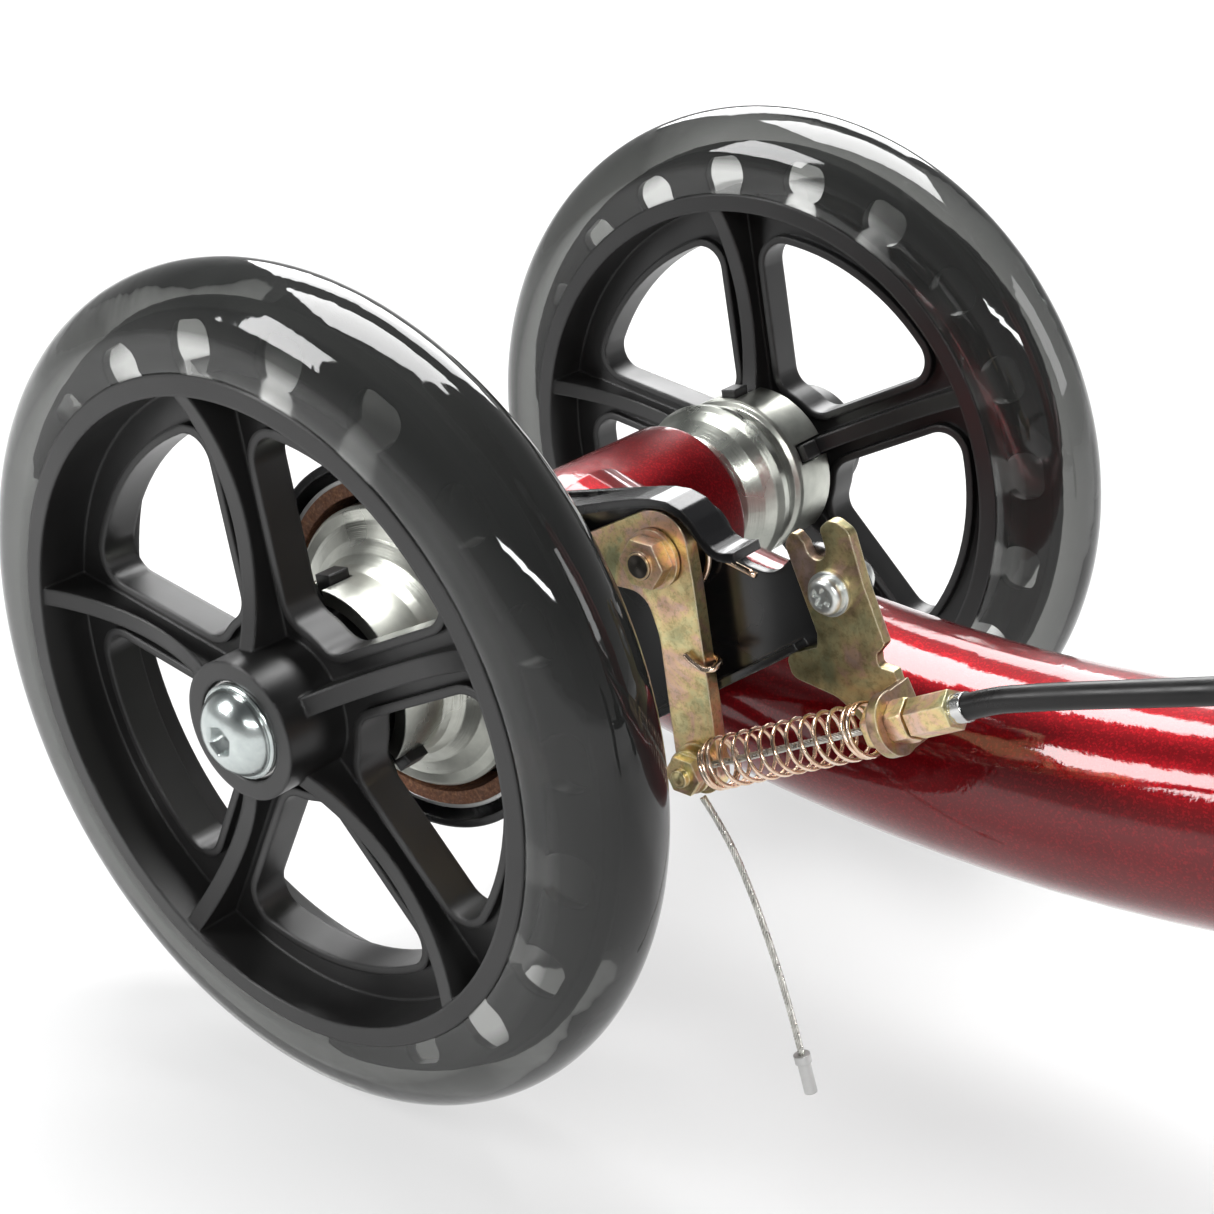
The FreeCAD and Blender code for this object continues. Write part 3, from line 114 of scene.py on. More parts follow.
class Nodes:
    """A short way to build a node tree."""

    def __init__(self, name):
        self.material = bpy.data.materials.new(name)
        self.material.use_nodes = True
        self.tree = self.material.node_tree
        self.shader = self.tree.nodes["Principled BSDF"]
        self.output = self.tree.nodes["Material Output"]
        self.place = self.add("ShaderNodeTexCoord").outputs["Object"]

    def add(self, kind, inputs=(), **settings):
        node = self.tree.nodes.new(kind)
        for key, value in settings.items():
            setattr(node, key, value)
        for key, value in dict(inputs).items():
            if isinstance(value, bpy.types.NodeSocket):
                self.tree.links.new(value, node.inputs[key])
            else:
                node.inputs[key].default_value = value
        return node

    def noise(self, scale, detail=3.0, rough=0.5, place=None, distortion=0.0):
        inputs = {"Vector": place or self.place, "Scale": scale, "Detail": detail, "Roughness": rough,
                  "Distortion": distortion}
        return self.add("ShaderNodeTexNoise", inputs).outputs["Fac"]

    def ramp(self, factor, stops):
        node = self.add("ShaderNodeValToRGB", {"Fac": factor})
        bar = node.color_ramp
        while len(bar.elements) < len(stops):
            bar.elements.new(0.5)
        for element, (at, colour) in zip(bar.elements, stops):
            element.position = at
            element.color = (*colour, 1)
        return node.outputs["Color"]

    def span(self, factor, low, high, start=0.3, end=0.7):
        inputs = {"Value": factor, "From Min": start, "From Max": end, "To Min": low, "To Max": high}
        return self.add("ShaderNodeMapRange", inputs).outputs["Result"]

    def maths(self, operation, a, b=0.0):
        node = self.add("ShaderNodeMath", {0: a, 1: b}, operation=operation)
        return node.outputs[0]

    def mix(self, factor, a, b):
        node = self.add("ShaderNodeMix", {"Factor": factor}, data_type="RGBA")
        for socket, value in ((node.inputs[6], a), (node.inputs[7], b)):
            if isinstance(value, bpy.types.NodeSocket):
                self.tree.links.new(value, socket)
            else:
                socket.default_value = (*value, 1)
        return node.outputs[2]

    def rounded(self, radius):
        """A normal that rounds the edges of the solids."""
        return self.add("ShaderNodeBevel", {"Radius": radius}, samples=4).outputs["Normal"]

    def edges(self, rounded, start=0.02, end=0.2):
        """1 along edges, 0 on open faces."""
        true = self.add("ShaderNodeNewGeometry").outputs["Normal"]
        dot = self.add("ShaderNodeVectorMath", {0: rounded, 1: true}, operation="DOT_PRODUCT")
        return self.span(self.maths("SUBTRACT", 1.0, dot.outputs["Value"]), 0.0, 1.0, start, end)

    def bump(self, height, distance, strength=1.0, normal=None):
        inputs = {"Height": height, "Distance": distance, "Strength": strength}
        if normal is not None:
            inputs["Normal"] = normal
        return self.add("ShaderNodeBump", inputs).outputs["Normal"]

    def finish(self, colour=None, rough=None, metallic=None, normal=None, **plain):
        """Sets the shader's sockets, by a link or a plain value; an underscore in a name is a space."""
        wanted = {"Base Color": colour, "Roughness": rough, "Metallic": metallic, "Normal": normal}
        for socket, value in wanted.items():
            if value is None:
                continue
            if isinstance(value, bpy.types.NodeSocket):
                self.tree.links.new(value, self.shader.inputs[socket])
            elif socket == "Base Color":
                self.shader.inputs[socket].default_value = (*value, 1)
            else:
                self.shader.inputs[socket].default_value = value
        for socket, value in plain.items():
            self.shader.inputs[socket.replace("_", " ")].default_value = value
        return self.material


def candy_red():
    """Dark red translucent lacquer over bright metallic, under a clear coat with a little orange peel."""
    n = Nodes("candy_red")
    flake = n.add("ShaderNodeTexVoronoi", {"Vector": n.place, "Scale": 2600.0}).outputs["Color"]
    sparkle = n.add("ShaderNodeSeparateColor", {"Color": flake}).outputs["Red"]
    cloud = n.noise(14, 3)
    base = n.mix(n.span(cloud, 0, 1), (0.105, 0.0004, 0.0024), (0.155, 0.0006, 0.0034))
    base = n.mix(n.span(sparkle, 0.0, 0.40, 0.6, 1.0), base, (0.42, 0.004, 0.010))
    waves = n.maths("ADD", n.noise(260, 2, 0.4), n.maths("MULTIPLY", n.noise(1100, 2, 0.5), 0.35))
    peel = n.bump(waves, 0.00010, 0.4, n.rounded(0.0008))
    flaky = n.bump(sparkle, 0.00003, 0.25, peel)
    rough = n.span(n.noise(60, 2), 0.34, 0.44)
    material = n.finish(base, rough, 0.92, flaky, Coat_Weight=1.0, Coat_Roughness=0.03, Coat_IOR=1.5)
    n.tree.links.new(peel, n.shader.inputs["Coat Normal"])
    return material


def black_nylon(name="black_nylon", level=0.0095, rough=(0.30, 0.42), edge=0.0011, pores=0.00001):
    """Moulded black nylon: satin, slightly uneven, with a painted highlight in patches along its edges."""
    n = Nodes(name)
    rounded = n.rounded(edge)
    cloud = n.mix(n.span(n.noise(35, 4), 0, 1), (level * 0.8,) * 3, (level * 1.25, level * 1.2, level * 1.2))
    # painted highlight: the rounded edges are painted paler, in patches
    edge_highlight = n.maths("MULTIPLY", n.edges(rounded), n.span(n.noise(160, 3), 0.0, 0.5))
    colour = n.mix(edge_highlight, cloud, (level * 3.2,) * 3)
    grain = n.maths("ADD", n.noise(1700, 2), n.maths("MULTIPLY", n.noise(90, 3), 1.4))
    normal = n.bump(grain, pores, 0.6, rounded)
    return n.finish(colour, n.span(n.noise(48, 4), *rough), 0.0, normal, Specular_IOR_Level=0.5)


def smoke_urethane():
    """Smoked urethane: a clear body that darkens towards the thick crown, under a thin grey haze."""
    n = Nodes("smoke_urethane")
    ripple = n.maths("MULTIPLY", n.noise(150, 2, 0.4), 0.12)
    wave = n.maths("ADD", n.noise(26, 3, 0.5, distortion=1.2), ripple)
    normal = n.bump(wave, 0.0009, 0.35)
    radius = n.add("ShaderNodeAttribute", attribute_name="radius").outputs["Fac"]
    depths = [(0.25, (0.95, 0.955, 0.94)), (0.42, (0.10, 0.102, 0.097)), (1.0, (0.015, 0.0155, 0.0148))]
    clear = n.ramp(n.span(radius, 0, 1, 80, 100), depths)
    rough = n.span(n.noise(40, 3), 0.02, 0.07)
    n.finish(clear, rough, 0.0, normal, Transmission_Weight=1.0, IOR=1.42)
    haze = n.add("ShaderNodeBsdfPrincipled", {"Base Color": (0.135, 0.14, 0.135, 1), "Roughness": rough,
                                              "Normal": normal})
    mixed = n.add("ShaderNodeMixShader", {0: 0.12, 1: n.shader.outputs[0], 2: haze.outputs[0]})
    n.tree.links.new(mixed.outputs[0], n.output.inputs["Surface"])
    smoke = n.add("ShaderNodeVolumeAbsorption", {"Color": (0.34, 0.35, 0.33, 1), "Density": 16.0})
    n.tree.links.new(smoke.outputs["Volume"], n.output.inputs["Volume"])
    return n.material


def zinc(name="zinc", dark=(0.42, 0.44, 0.43), bright=(0.76, 0.78, 0.75), rough=(0.18, 0.36), scale=60,
         axis=None):
    """Bright zinc plate: cloudy, with fine turning lines about an axis where there is one."""
    n = Nodes(name)
    rounded = n.rounded(0.0006)
    cloud = n.noise(scale, 6, 0.62)
    middle = tuple((a + b) / 2 for a, b in zip(dark, bright))
    colour = n.ramp(cloud, [(0.30, dark), (0.52, middle), (0.72, bright)])
    height = n.maths("ADD", n.noise(900, 2), n.maths("MULTIPLY", n.noise(70, 4), 2.0))
    if axis is not None:
        back = tuple(-c for c in axis)
        offset = n.add("ShaderNodeVectorMath", {0: n.place, 1: back}, operation="ADD").outputs[0]
        flat = n.add("ShaderNodeVectorMath", {0: offset, 1: (1, 0, 1)}, operation="MULTIPLY").outputs[0]
        radius = n.add("ShaderNodeVectorMath", {0: flat}, operation="LENGTH").outputs["Value"]
        inputs = {"W": radius, "Scale": 2600.0, "Detail": 2.0}
        rings = n.add("ShaderNodeTexNoise", inputs, noise_dimensions="1D")
        height = n.maths("ADD", n.maths("MULTIPLY", rings.outputs["Fac"], 2.2), height)
    normal = n.bump(height, 0.00005, 0.35, rounded)
    return n.finish(colour, n.span(n.noise(45, 4), *rough), 1.0, normal)


def yellow_zinc(name="yellow_zinc", level=1.0):
    """Yellow chromate over zinc: straw gold with drifts of pink and green, speckled, with a painted highlight
    along the edges.
    """
    n = Nodes(name)
    rounded = n.rounded(0.0005)
    warp = n.noise(70, 4, 0.6, distortion=1.2)
    stains = [(0.33, (0.55, 0.55, 0.31)), (0.42, (0.74, 0.65, 0.35)), (0.50, (0.80, 0.62, 0.32)),
              (0.56, (0.80, 0.53, 0.37)), (0.65, (0.70, 0.50, 0.43))]
    colour = n.ramp(warp, [(at, tuple(c * level for c in tint)) for at, tint in stains])
    speckle = n.span(n.noise(900, 3, 0.7), 0.0, 0.5, 0.48, 0.66)
    colour = n.mix(speckle, colour, tuple(c * level for c in (0.36, 0.29, 0.13)))
    # painted highlight: the rounded edges are painted a pale gold
    colour = n.mix(n.maths("MULTIPLY", n.edges(rounded), 0.7), colour, (0.90, 0.84, 0.64))
    height = n.maths("ADD", n.noise(1300, 2), n.maths("MULTIPLY", n.noise(160, 4), 1.5))
    normal = n.bump(height, 0.00006, 0.6, rounded)
    return n.finish(colour, n.span(n.noise(240, 4), 0.28, 0.46), 1.0, normal)


def coppery_wire():
    """Spring wire with a pinkish gold plate."""
    n = Nodes("coppery_wire")
    tints = [(0.3, (0.64, 0.42, 0.28)), (0.5, (0.88, 0.66, 0.50)), (0.7, (0.92, 0.79, 0.66))]
    colour = n.ramp(n.noise(260, 3), tints)
    normal = n.bump(n.noise(2400, 2), 0.00003, 0.5)
    return n.finish(colour, n.span(n.noise(300, 3), 0.16, 0.30), 1.0, normal)


def brake_lining():
    """Woven, resin-bound lining: brown, with brassy fibres."""
    n = Nodes("brake_lining")
    fibre = n.noise(900, 4, 0.7)
    tints = [(0.3, (0.075, 0.028, 0.014)), (0.52, (0.20, 0.085, 0.045)), (0.72, (0.42, 0.22, 0.11))]
    colour = n.ramp(fibre, tints)
    normal = n.bump(fibre, 0.0002, 0.8, n.rounded(0.0005))
    return n.finish(colour, n.span(n.noise(400, 3), 0.55, 0.85), 0.0, normal)


def black_gloss():
    """Black baked enamel on sheet steel, with a painted highlight in patches along its edges."""
    n = Nodes("black_gloss")
    rounded = n.rounded(0.0009)
    # painted highlight: the rounded edges are painted a pale grey, in patches
    enamel_edge_highlight = n.maths("MULTIPLY", n.edges(rounded, 0.05, 0.3), n.span(n.noise(300, 3), 0.0, 0.7, 0.45, 0.65))
    colour = n.mix(enamel_edge_highlight, (0.0045, 0.0045, 0.005), (0.16, 0.15, 0.14))
    normal = n.bump(n.noise(210, 2, 0.4), 0.00008, 0.3, rounded)
    rough = n.span(n.noise(30, 3), 0.20, 0.32)
    return n.finish(colour, rough, 0.0, normal, Coat_Weight=0.35, Coat_Roughness=0.14)


def powder_black():
    """Black powder coat with a fine texture."""
    n = Nodes("powder_black")
    rounded = n.rounded(0.0010)
    normal = n.bump(n.noise(850, 3, 0.5), 0.00012, 0.55, rounded)
    colour = n.mix(n.span(n.noise(12, 3), 0, 1), (0.011, 0.011, 0.012), (0.019, 0.019, 0.02))
    return n.finish(colour, n.span(n.noise(60, 3), 0.34, 0.50), 0.0, normal)


def casing_vinyl():
    """Extruded black vinyl over a wound casing."""
    n = Nodes("casing_vinyl")
    normal = n.bump(n.noise(420, 3), 0.00006, 0.5)
    colour = n.mix(n.span(n.noise(110, 3), 0, 1), (0.006, 0.006, 0.006), (0.013, 0.012, 0.012))
    return n.finish(colour, n.span(n.noise(150, 3), 0.26, 0.42), 0.0, normal, Specular_IOR_Level=0.32)


def bright_steel(name="bright_steel", rough=(0.10, 0.22), tint=(0.72, 0.72, 0.71)):
    """Plain or plated steel, a little cloudy."""
    n = Nodes(name)
    rounded = n.rounded(0.0005)
    colour = n.mix(n.span(n.noise(80, 5, 0.6), 0, 1), tuple(c * 0.8 for c in tint), tint)
    normal = n.bump(n.noise(700, 3), 0.00003, 0.35, rounded)
    return n.finish(colour, n.span(n.noise(50, 4), *rough), 1.0, normal)


def wire_steel():
    """The bare steel of the inner cable's strands."""
    n = Nodes("wire_steel")
    tints = [(0.3, (0.46, 0.45, 0.42)), (0.6, (0.72, 0.71, 0.67)), (0.8, (0.84, 0.83, 0.80))]
    normal = n.bump(n.noise(3000, 2), 0.00002, 0.5)
    return n.finish(n.ramp(n.noise(500, 3), tints), n.span(n.noise(800, 2), 0.22, 0.40), 1.0, normal)


def vinyl_leather():
    """Black upholstery vinyl with a pebbled grain."""
    n = Nodes("vinyl_leather")
    cells = n.add("ShaderNodeTexVoronoi", {"Vector": n.place, "Scale": 620.0}, feature="DISTANCE_TO_EDGE")
    pebble = n.span(cells.outputs[0], 0.0, 1.0, 0.0, 0.22)
    height = n.maths("ADD", pebble, n.maths("MULTIPLY", n.noise(140, 4), 0.8))
    colour = n.mix(pebble, (0.008, 0.008, 0.008), (0.024, 0.023, 0.023))
    colour = n.mix(n.span(n.noise(9, 3), 0.0, 0.4), colour, (0.034, 0.032, 0.031))
    normal = n.bump(height, 0.00016, 0.5)
    return n.finish(colour, n.span(n.noise(60, 4), 0.42, 0.56), 0.0, normal, Sheen_Weight=0.04)


def thread_grey():
    """Grey sewing thread."""
    n = Nodes("thread_grey")
    colour = n.mix(n.span(n.noise(900, 2), 0, 1), (0.10, 0.10, 0.10), (0.20, 0.20, 0.20))
    return n.finish(colour, 0.7, 0.0, n.bump(n.noise(2500, 2), 0.00005, 0.6))


def foam_rubber():
    """Black foam with fine open pores."""
    n = Nodes("foam_rubber")
    pores = n.noise(1500, 3, 0.6)
    colour = n.mix(n.span(pores, 0, 1), (0.009, 0.009, 0.009), (0.026, 0.026, 0.026))
    return n.finish(colour, n.span(n.noise(90, 3), 0.6, 0.85), 0.0, n.bump(pores, 0.0002, 0.6))


RED = candy_red()
NYLON = black_nylon()
SMOKE = smoke_urethane()
ZINC = zinc()
TURNED = zinc("turned_zinc", (0.36, 0.375, 0.34), (0.74, 0.75, 0.68), (0.24, 0.42), 42, tuple(REAR_AXLE))
DOME = zinc("domed_zinc", (0.46, 0.51, 0.50), (0.70, 0.74, 0.73), (0.20, 0.34), 90)
GOLD = yellow_zinc()
OLIVE = yellow_zinc("olive_zinc", 0.58)
COPPER = coppery_wire()
LINING = brake_lining()
ENAMEL = black_gloss()
POWDER = powder_black()
CASING = casing_vinyl()
STEEL = bright_steel()
SATIN = bright_steel("satin_steel", (0.24, 0.38), (0.60, 0.60, 0.59))
GREY_STEEL = bright_steel("grey_steel", (0.26, 0.40), (0.30, 0.30, 0.31))
WIRE = wire_steel()
DARK_STEEL = bright_steel("dark_steel", (0.30, 0.5), (0.10, 0.09, 0.08))
VINYL = vinyl_leather()
THREAD = thread_grey()
FOAM = foam_rubber()
RUBBER = black_nylon("black_rubber", 0.008, (0.5, 0.7), 0.0006, 0.00008)

CAD_MATERIALS = {
    "main_tube": RED, "rear_axle_tube": RED, "head_tube": RED, "knee_post_socket": RED, "column": RED,
    "steering_fork": POWDER, "fold_knuckle": POWDER, "knee_deck": POWDER, "fold_latch": NYLON,
    "headset_cups": ENAMEL, "rear_axle": STEEL, "front_axle": STEEL, "knee_post": GREY_STEEL,
    "handlebar": STEEL, "rear_axle_bolts": DOME, "front_axle_bolts": DOME, "brake_drum": TURNED,
    "wheel_hub_left": TURNED,
    "brake_housing": ENAMEL, "brake_band": SATIN, "brake_lining": LINING, "lever_pivot_bolt": GOLD,
    "brake_arm": GOLD, "cable_clamp_bolt": GOLD, "cable_stop_bracket": OLIVE, "bracket_screw": ZINC,
    "adjuster_nuts": GOLD, "barrel_adjuster": GOLD, "cable_end_cap": SATIN, "casing_frame": CASING,
    "cable_clips": RUBBER, "knee_clamp_bolt": STEEL, "stem_clamp_bolt": STEEL, "knee_clamp_lever": NYLON,
    "stem_clamp_lever": NYLON, "brake_perch": NYLON, "hand_brake_lever": NYLON,
}
for wheel in ("rear_right", "rear_left", "front_right", "front_left"):
    CAD_MATERIALS[f"rim_{wheel}"] = NYLON
for node_name, material in CAD_MATERIALS.items():
    mesh = nodes[node_name].data
    mesh.materials.clear()
    mesh.materials.append(material)

# ---------------------------------------------------------------- mesh helpers


def piece(name, points, faces, material, body=None, slot=None, smooth=True):
    """A new object from points and faces in metres, riding on a body where one is named."""
    mesh = bpy.data.meshes.new(name)
    mesh.from_pydata([tuple(p) for p in points], [], faces)
    mesh.update()
    for polygon in mesh.polygons:
        polygon.use_smooth = smooth
    mesh.materials.append(material)
    obj = bpy.data.objects.new(name, mesh)
    scene.collection.objects.link(obj)
    if body:
        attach(obj, body)
    return obj


def turned(profile, centre, axis=(0, 1, 0), steps=128, closed=True):
    """Points and faces of a profile of (radius, height) in millimetres, turned about an axis."""
    axis = Vector(axis).normalized()
    side = axis.orthogonal().normalized()
    other = axis.cross(side)
    points, faces = [], []
    count = len(profile)
    for k in range(steps):
        angle = 2 * math.pi * k / steps
        out = side * math.cos(angle) + other * math.sin(angle)
        points += [Vector(centre) + (out * r + axis * h) * MM for r, h in profile]
    for k in range(steps):
        a, b = k * count, (k + 1) % steps * count
        for i in range(count if closed else count - 1):
            j = (i + 1) % count
            faces.append((a + i, a + j, b + j, b + i))
    return points, faces


def frames_along(path):
    """The points of a path with two directions square to it that don't twist."""
    path = [Vector(p) for p in path]
    tangents = []
    for i in range(len(path)):
        tangents.append((path[min(i + 1, len(path) - 1)] - path[max(i - 1, 0)]).normalized())
    side = tangents[0].orthogonal().normalized()
    result = []
    for i, (point, tangent) in enumerate(zip(path, tangents)):
        if i:
            side = tangents[i - 1].rotation_difference(tangent) @ side
        side = (side - tangent * side.dot(tangent)).normalized()
        result.append((point, side, tangent.cross(side)))
    return result


def swept(path, radius, sides=12, radii=None):
    """Points and faces of a round rod along a path, with flat ends."""
    points, faces = [], []
    framed = frames_along(path)
    for i, (point, side, other) in enumerate(framed):
        r = radii[i] if radii else radius
        for k in range(sides):
            angle = 2 * math.pi * k / sides
            points.append(point + (side * math.cos(angle) + other * math.sin(angle)) * r)
    last = len(framed) - 1
    for i in range(last):
        for k in range(sides):
            a, b = i * sides + k, i * sides + (k + 1) % sides
            faces.append((a, b, b + sides, a + sides))
    faces.append(tuple(reversed(range(sides))))
    faces.append(tuple(last * sides + k for k in range(sides)))
    return points, faces


def joined(parts):
    """Several sets of points and faces as one."""
    points, faces = [], []
    for more_points, more_faces in parts:
        base = len(points)
        points += list(more_points)
        faces += [tuple(i + base for i in face) for face in more_faces]
    return points, faces


def smooth_path(controls, steps=10):
    """A Catmull-Rom curve through some points."""
    controls = [Vector(c) for c in controls]
    ends = [controls[0] * 2 - controls[1]] + controls + [controls[-1] * 2 - controls[-2]]
    result = []
    for a, b, c, d in zip(ends, ends[1:], ends[2:], ends[3:]):
        for k in range(steps):
            t = k / steps
            result.append(0.5 * ((2 * b) + (c - a) * t + (2 * a - 5 * b + 4 * c - d) * t * t
                                 + (3 * b - a - 3 * c + d) * t ** 3))
    result.append(controls[-1])
    return result


def spline_points(controls, name):
    """The points of a NURBS spline with the given control points."""
    curve = bpy.data.curves.new(name, "CURVE")
    curve.dimensions = "3D"
    curve.resolution_u = 12
    spline = curve.splines.new("NURBS")
    spline.points.add(len(controls) - 1)
    for point, control in zip(spline.points, controls):
        point.co = (*control, 1)
    spline.order_u = 3
    spline.use_endpoint_u = True
    holder = bpy.data.objects.new(name, curve)
    scene.collection.objects.link(holder)
    bpy.context.view_layer.update()
    mesh = bpy.data.meshes.new_from_object(holder)
    found = [v.co.copy() for v in mesh.vertices]
    bpy.data.objects.remove(holder)
    bpy.data.curves.remove(curve)
    bpy.data.meshes.remove(mesh)
    return found


def strands(path, wire_radius, count, pitch):
    """Laid wires of a steel cable: an outer layer of twisted strands round a core, along a path."""
    framed = frames_along(path)
    strand = wire_radius * math.sin(math.pi / count) / (1 + math.sin(math.pi / count))
    lay = wire_radius - strand
    travelled = [0.0]
    for a, b in zip(framed, framed[1:]):
        travelled.append(travelled[-1] + (b[0] - a[0]).length)
    parts = [swept(path, lay * 0.98, 8)]
    for s in range(count):
        line = []
        for (point, side, other), gone in zip(framed, travelled):
            angle = 2 * math.pi * (s / count + gone / pitch)
            line.append(point + (side * math.cos(angle) + other * math.sin(angle)) * lay)
        parts.append(swept(line, strand, 6))
    return joined(parts)


def resampled(path, spacing):
    """The same path with evenly spaced points."""
    lengths = np.array([0.0] + [(b - a).length for a, b in zip(path, path[1:])]).cumsum()
    count = max(2, int(lengths[-1] / spacing))
    wanted = np.linspace(0, lengths[-1], count + 1)
    columns = [np.interp(wanted, lengths, [p[i] for p in path]) for i in range(3)]
    return [Vector(p) for p in zip(*columns)]


# ---------------------------------------------------------------- the free end of the brake cable

TAIL = [(83.6, -14.2), (87.2, -18.2), (91.4, -24), (95.2, -31), (98.8, -38.8), (102.2, -47), (105.4, -55.6),
        (108.2, -64.2), (110, -70.4)]
tail_route = [rear(x, -56, z) for x, z in TAIL]
tail_path = resampled(spline_points(tail_route, "tail_line"), 0.0004)
tail = piece("cable_tail_strands", *strands(tail_path, 0.0008, 7, 0.007), WIRE, "brake_crank", "wire")
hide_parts("cable_tail")

# ---------------------------------------------------------------- wheels


def tyre_profile():
    """Half-round crown on straight walls, with a small step beside the rim."""
    arc = [(85 + 15 * math.sin(a), 15 * math.cos(a)) for a in np.linspace(0, math.pi, 37)]
    wall = [(76.6, 13.6), (79.2, 14.5), (80.2, 14.95), (82.4, 15)]
    return [(r, h) for r, h in wall] + arc + [(r, -h) for r, h in reversed(wall)]


def bearing_profile(out):
    """A sealed bearing's face: outer race, rubber shield with its groove, inner race."""
    steps = [(12, 0), (12, 5.9), (10.6, 6), (10.5, 5.7), (9.9, 5.6), (8.6, 5.7), (8.4, 6), (6.1, 6), (6.1, 0)]
    return [(r, h * out) for r, h in steps]


WHEELS = {"rear_right": (-0.29, -0.0937), "rear_left": (-0.29, 0.0937), "front_right": (0.29, -0.125),
          "front_left": (0.29, 0.125)}
for wheel, (wheel_x, wheel_y) in WHEELS.items():
    front_or_rear, side_name = wheel.split("_")
    body = f"{front_or_rear}_wheel_{side_name}"
    centre = Vector((wheel_x, wheel_y, REAR_AXLE.z))
    tyre = piece(f"tyre_{wheel}_skin", *turned(tyre_profile(), centre, steps=192), SMOKE, body, "smoke")
    radii = tyre.data.attributes.new("radius", "FLOAT", "POINT")
    from_axle = [vert.co - centre for vert in tyre.data.vertices]
    radii.data.foreach_set("value", [math.hypot(way.x, way.z) / MM for way in from_axle])
    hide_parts(f"tyre_{wheel}")
    bearing_parts = []
    for out in (-1, 1):
        face = centre + Vector((0, out * 11.6 * MM, 0))
        bearing_parts.append(turned(bearing_profile(out), face, steps=64))
    bearing = piece(f"bearings_{wheel}_sealed", *joined(bearing_parts), SATIN, body, "steel")
    bearing.data.materials.append(RUBBER)
    for polygon in bearing.data.polygons:
        spot = polygon.center - centre
        radius = math.hypot(spot.x, spot.z) / MM
        polygon.material_index = 1 if 8.6 < radius < 10.6 and abs(spot.y) > 17 * MM else 0
    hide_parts(f"bearings_{wheel}")


def socket_bolt(base, out):
    """A domed bolt head with a hexagon socket, its rim chamfered."""
    rows = [(10.2, 0.0), (10.2, 0.8), (9.9, 1.5), (9.2, 2.6), (8.2, 3.7), (6.9, 4.6), (5.4, 5.2), (4.3, 5.5)]
    steps, points, faces = 96, [], []
    axis = Vector((0, out, 0))
    side, other = Vector((1, 0, 0)), Vector((0, 0, 1))

    def hexagon(angle, flats):
        return flats / 2 / math.cos((angle + math.pi / 6) % (math.pi / 3) - math.pi / 6)

    loops = [[(r, h)] * steps for r, h in rows]
    for flats, h in ((7.0, 5.6), (6.0, 5.1), (6.0, 2.4)):
        loops.append([(hexagon(2 * math.pi * k / steps + 0.2, flats), h) for k in range(steps)])
    loops.append([(0.02, 1.6)] * steps)
    for loop in loops:
        for k, (r, h) in enumerate(loop):
            angle = 2 * math.pi * k / steps
            outward = side * math.cos(angle) + other * math.sin(angle)
            points.append(base + outward * (r * MM) + axis * (h * MM))
    for i in range(len(loops) - 1):
        for k in range(steps):
            a, b = i * steps + k, i * steps + (k + 1) % steps
            faces.append((a, b, b + steps, a + steps))
    faces.append(tuple(range(steps)))
    return points, faces


BOLT_SEAT = 0.0189       # from a wheel's middle plane out to its bolt's head
WASHER = [(8.6, -1.1), (11.1, -0.9), (11.1, 0.1), (8.6, 0.1)]
for pair, body in (("rear", "frame"), ("front", "steering")):
    x, half = WHEELS[f"{pair}_left"]
    seats = [(Vector((x, out * (half + BOLT_SEAT), REAR_AXLE.z)), out) for out in (-1, 1)]
    heads = [socket_bolt(seat, out) for seat, out in seats]
    washers = [turned(WASHER, seat, (0, out, 0), 64) for seat, out in seats]
    bolts = piece(f"{pair}_axle_bolt_heads", *joined(heads + washers), DOME, body, "zinc")
    for polygon in bolts.data.polygons:
        polygon.use_smooth = polygon.area < 4e-5
    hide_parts(f"{pair}_axle_bolts")

# ---------------------------------------------------------------- springs and wires of the brake


def wound(start, along, side, radius, turns, length, closed_turns=1.2, wire=0.0006, per_turn=28, phase=0.0):
    """A wound wire that closes up at both ends."""
    other = along.cross(side)
    open_pitch = (length - 4 * wire * closed_turns) / (turns - 2 * closed_turns)
    path, height = [], 0.0
    for k in range(int(turns * per_turn) + 1):
        turn = k / per_turn
        angle = phase + 2 * math.pi * turn
        path.append(start + along * height + (side * math.cos(angle) + other * math.sin(angle)) * radius)
        closed = turn < closed_turns or turn > turns - closed_turns
        height += (2 * wire if closed else open_pitch) / per_turn
    return path


def ride_and_squash(obj):
    """The spring and the wire in it ride on the frame, each on a mesh of its own."""
    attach(obj, "frame")
    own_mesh(obj)


SPRING_WIRE = 0.00047
coil = wound(on_cable(7.0), PULL, CROSS, 0.0054, 14.0, 0.0424, 1.8, SPRING_WIRE, 30, 0.6)
spring = piece("return_spring_coil", *swept(coil, SPRING_WIRE, 8), COPPER, None, "spring")
ride_and_squash(spring)
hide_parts("return_spring")

run_path = [on_cable(t) for t in np.linspace(-4, 50, 200)]
run = piece("inner_cable_strands", *strands(run_path, 0.0008, 7, 0.007), WIRE, None, "wire")
ride_and_squash(run)
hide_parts("inner_cable_run")

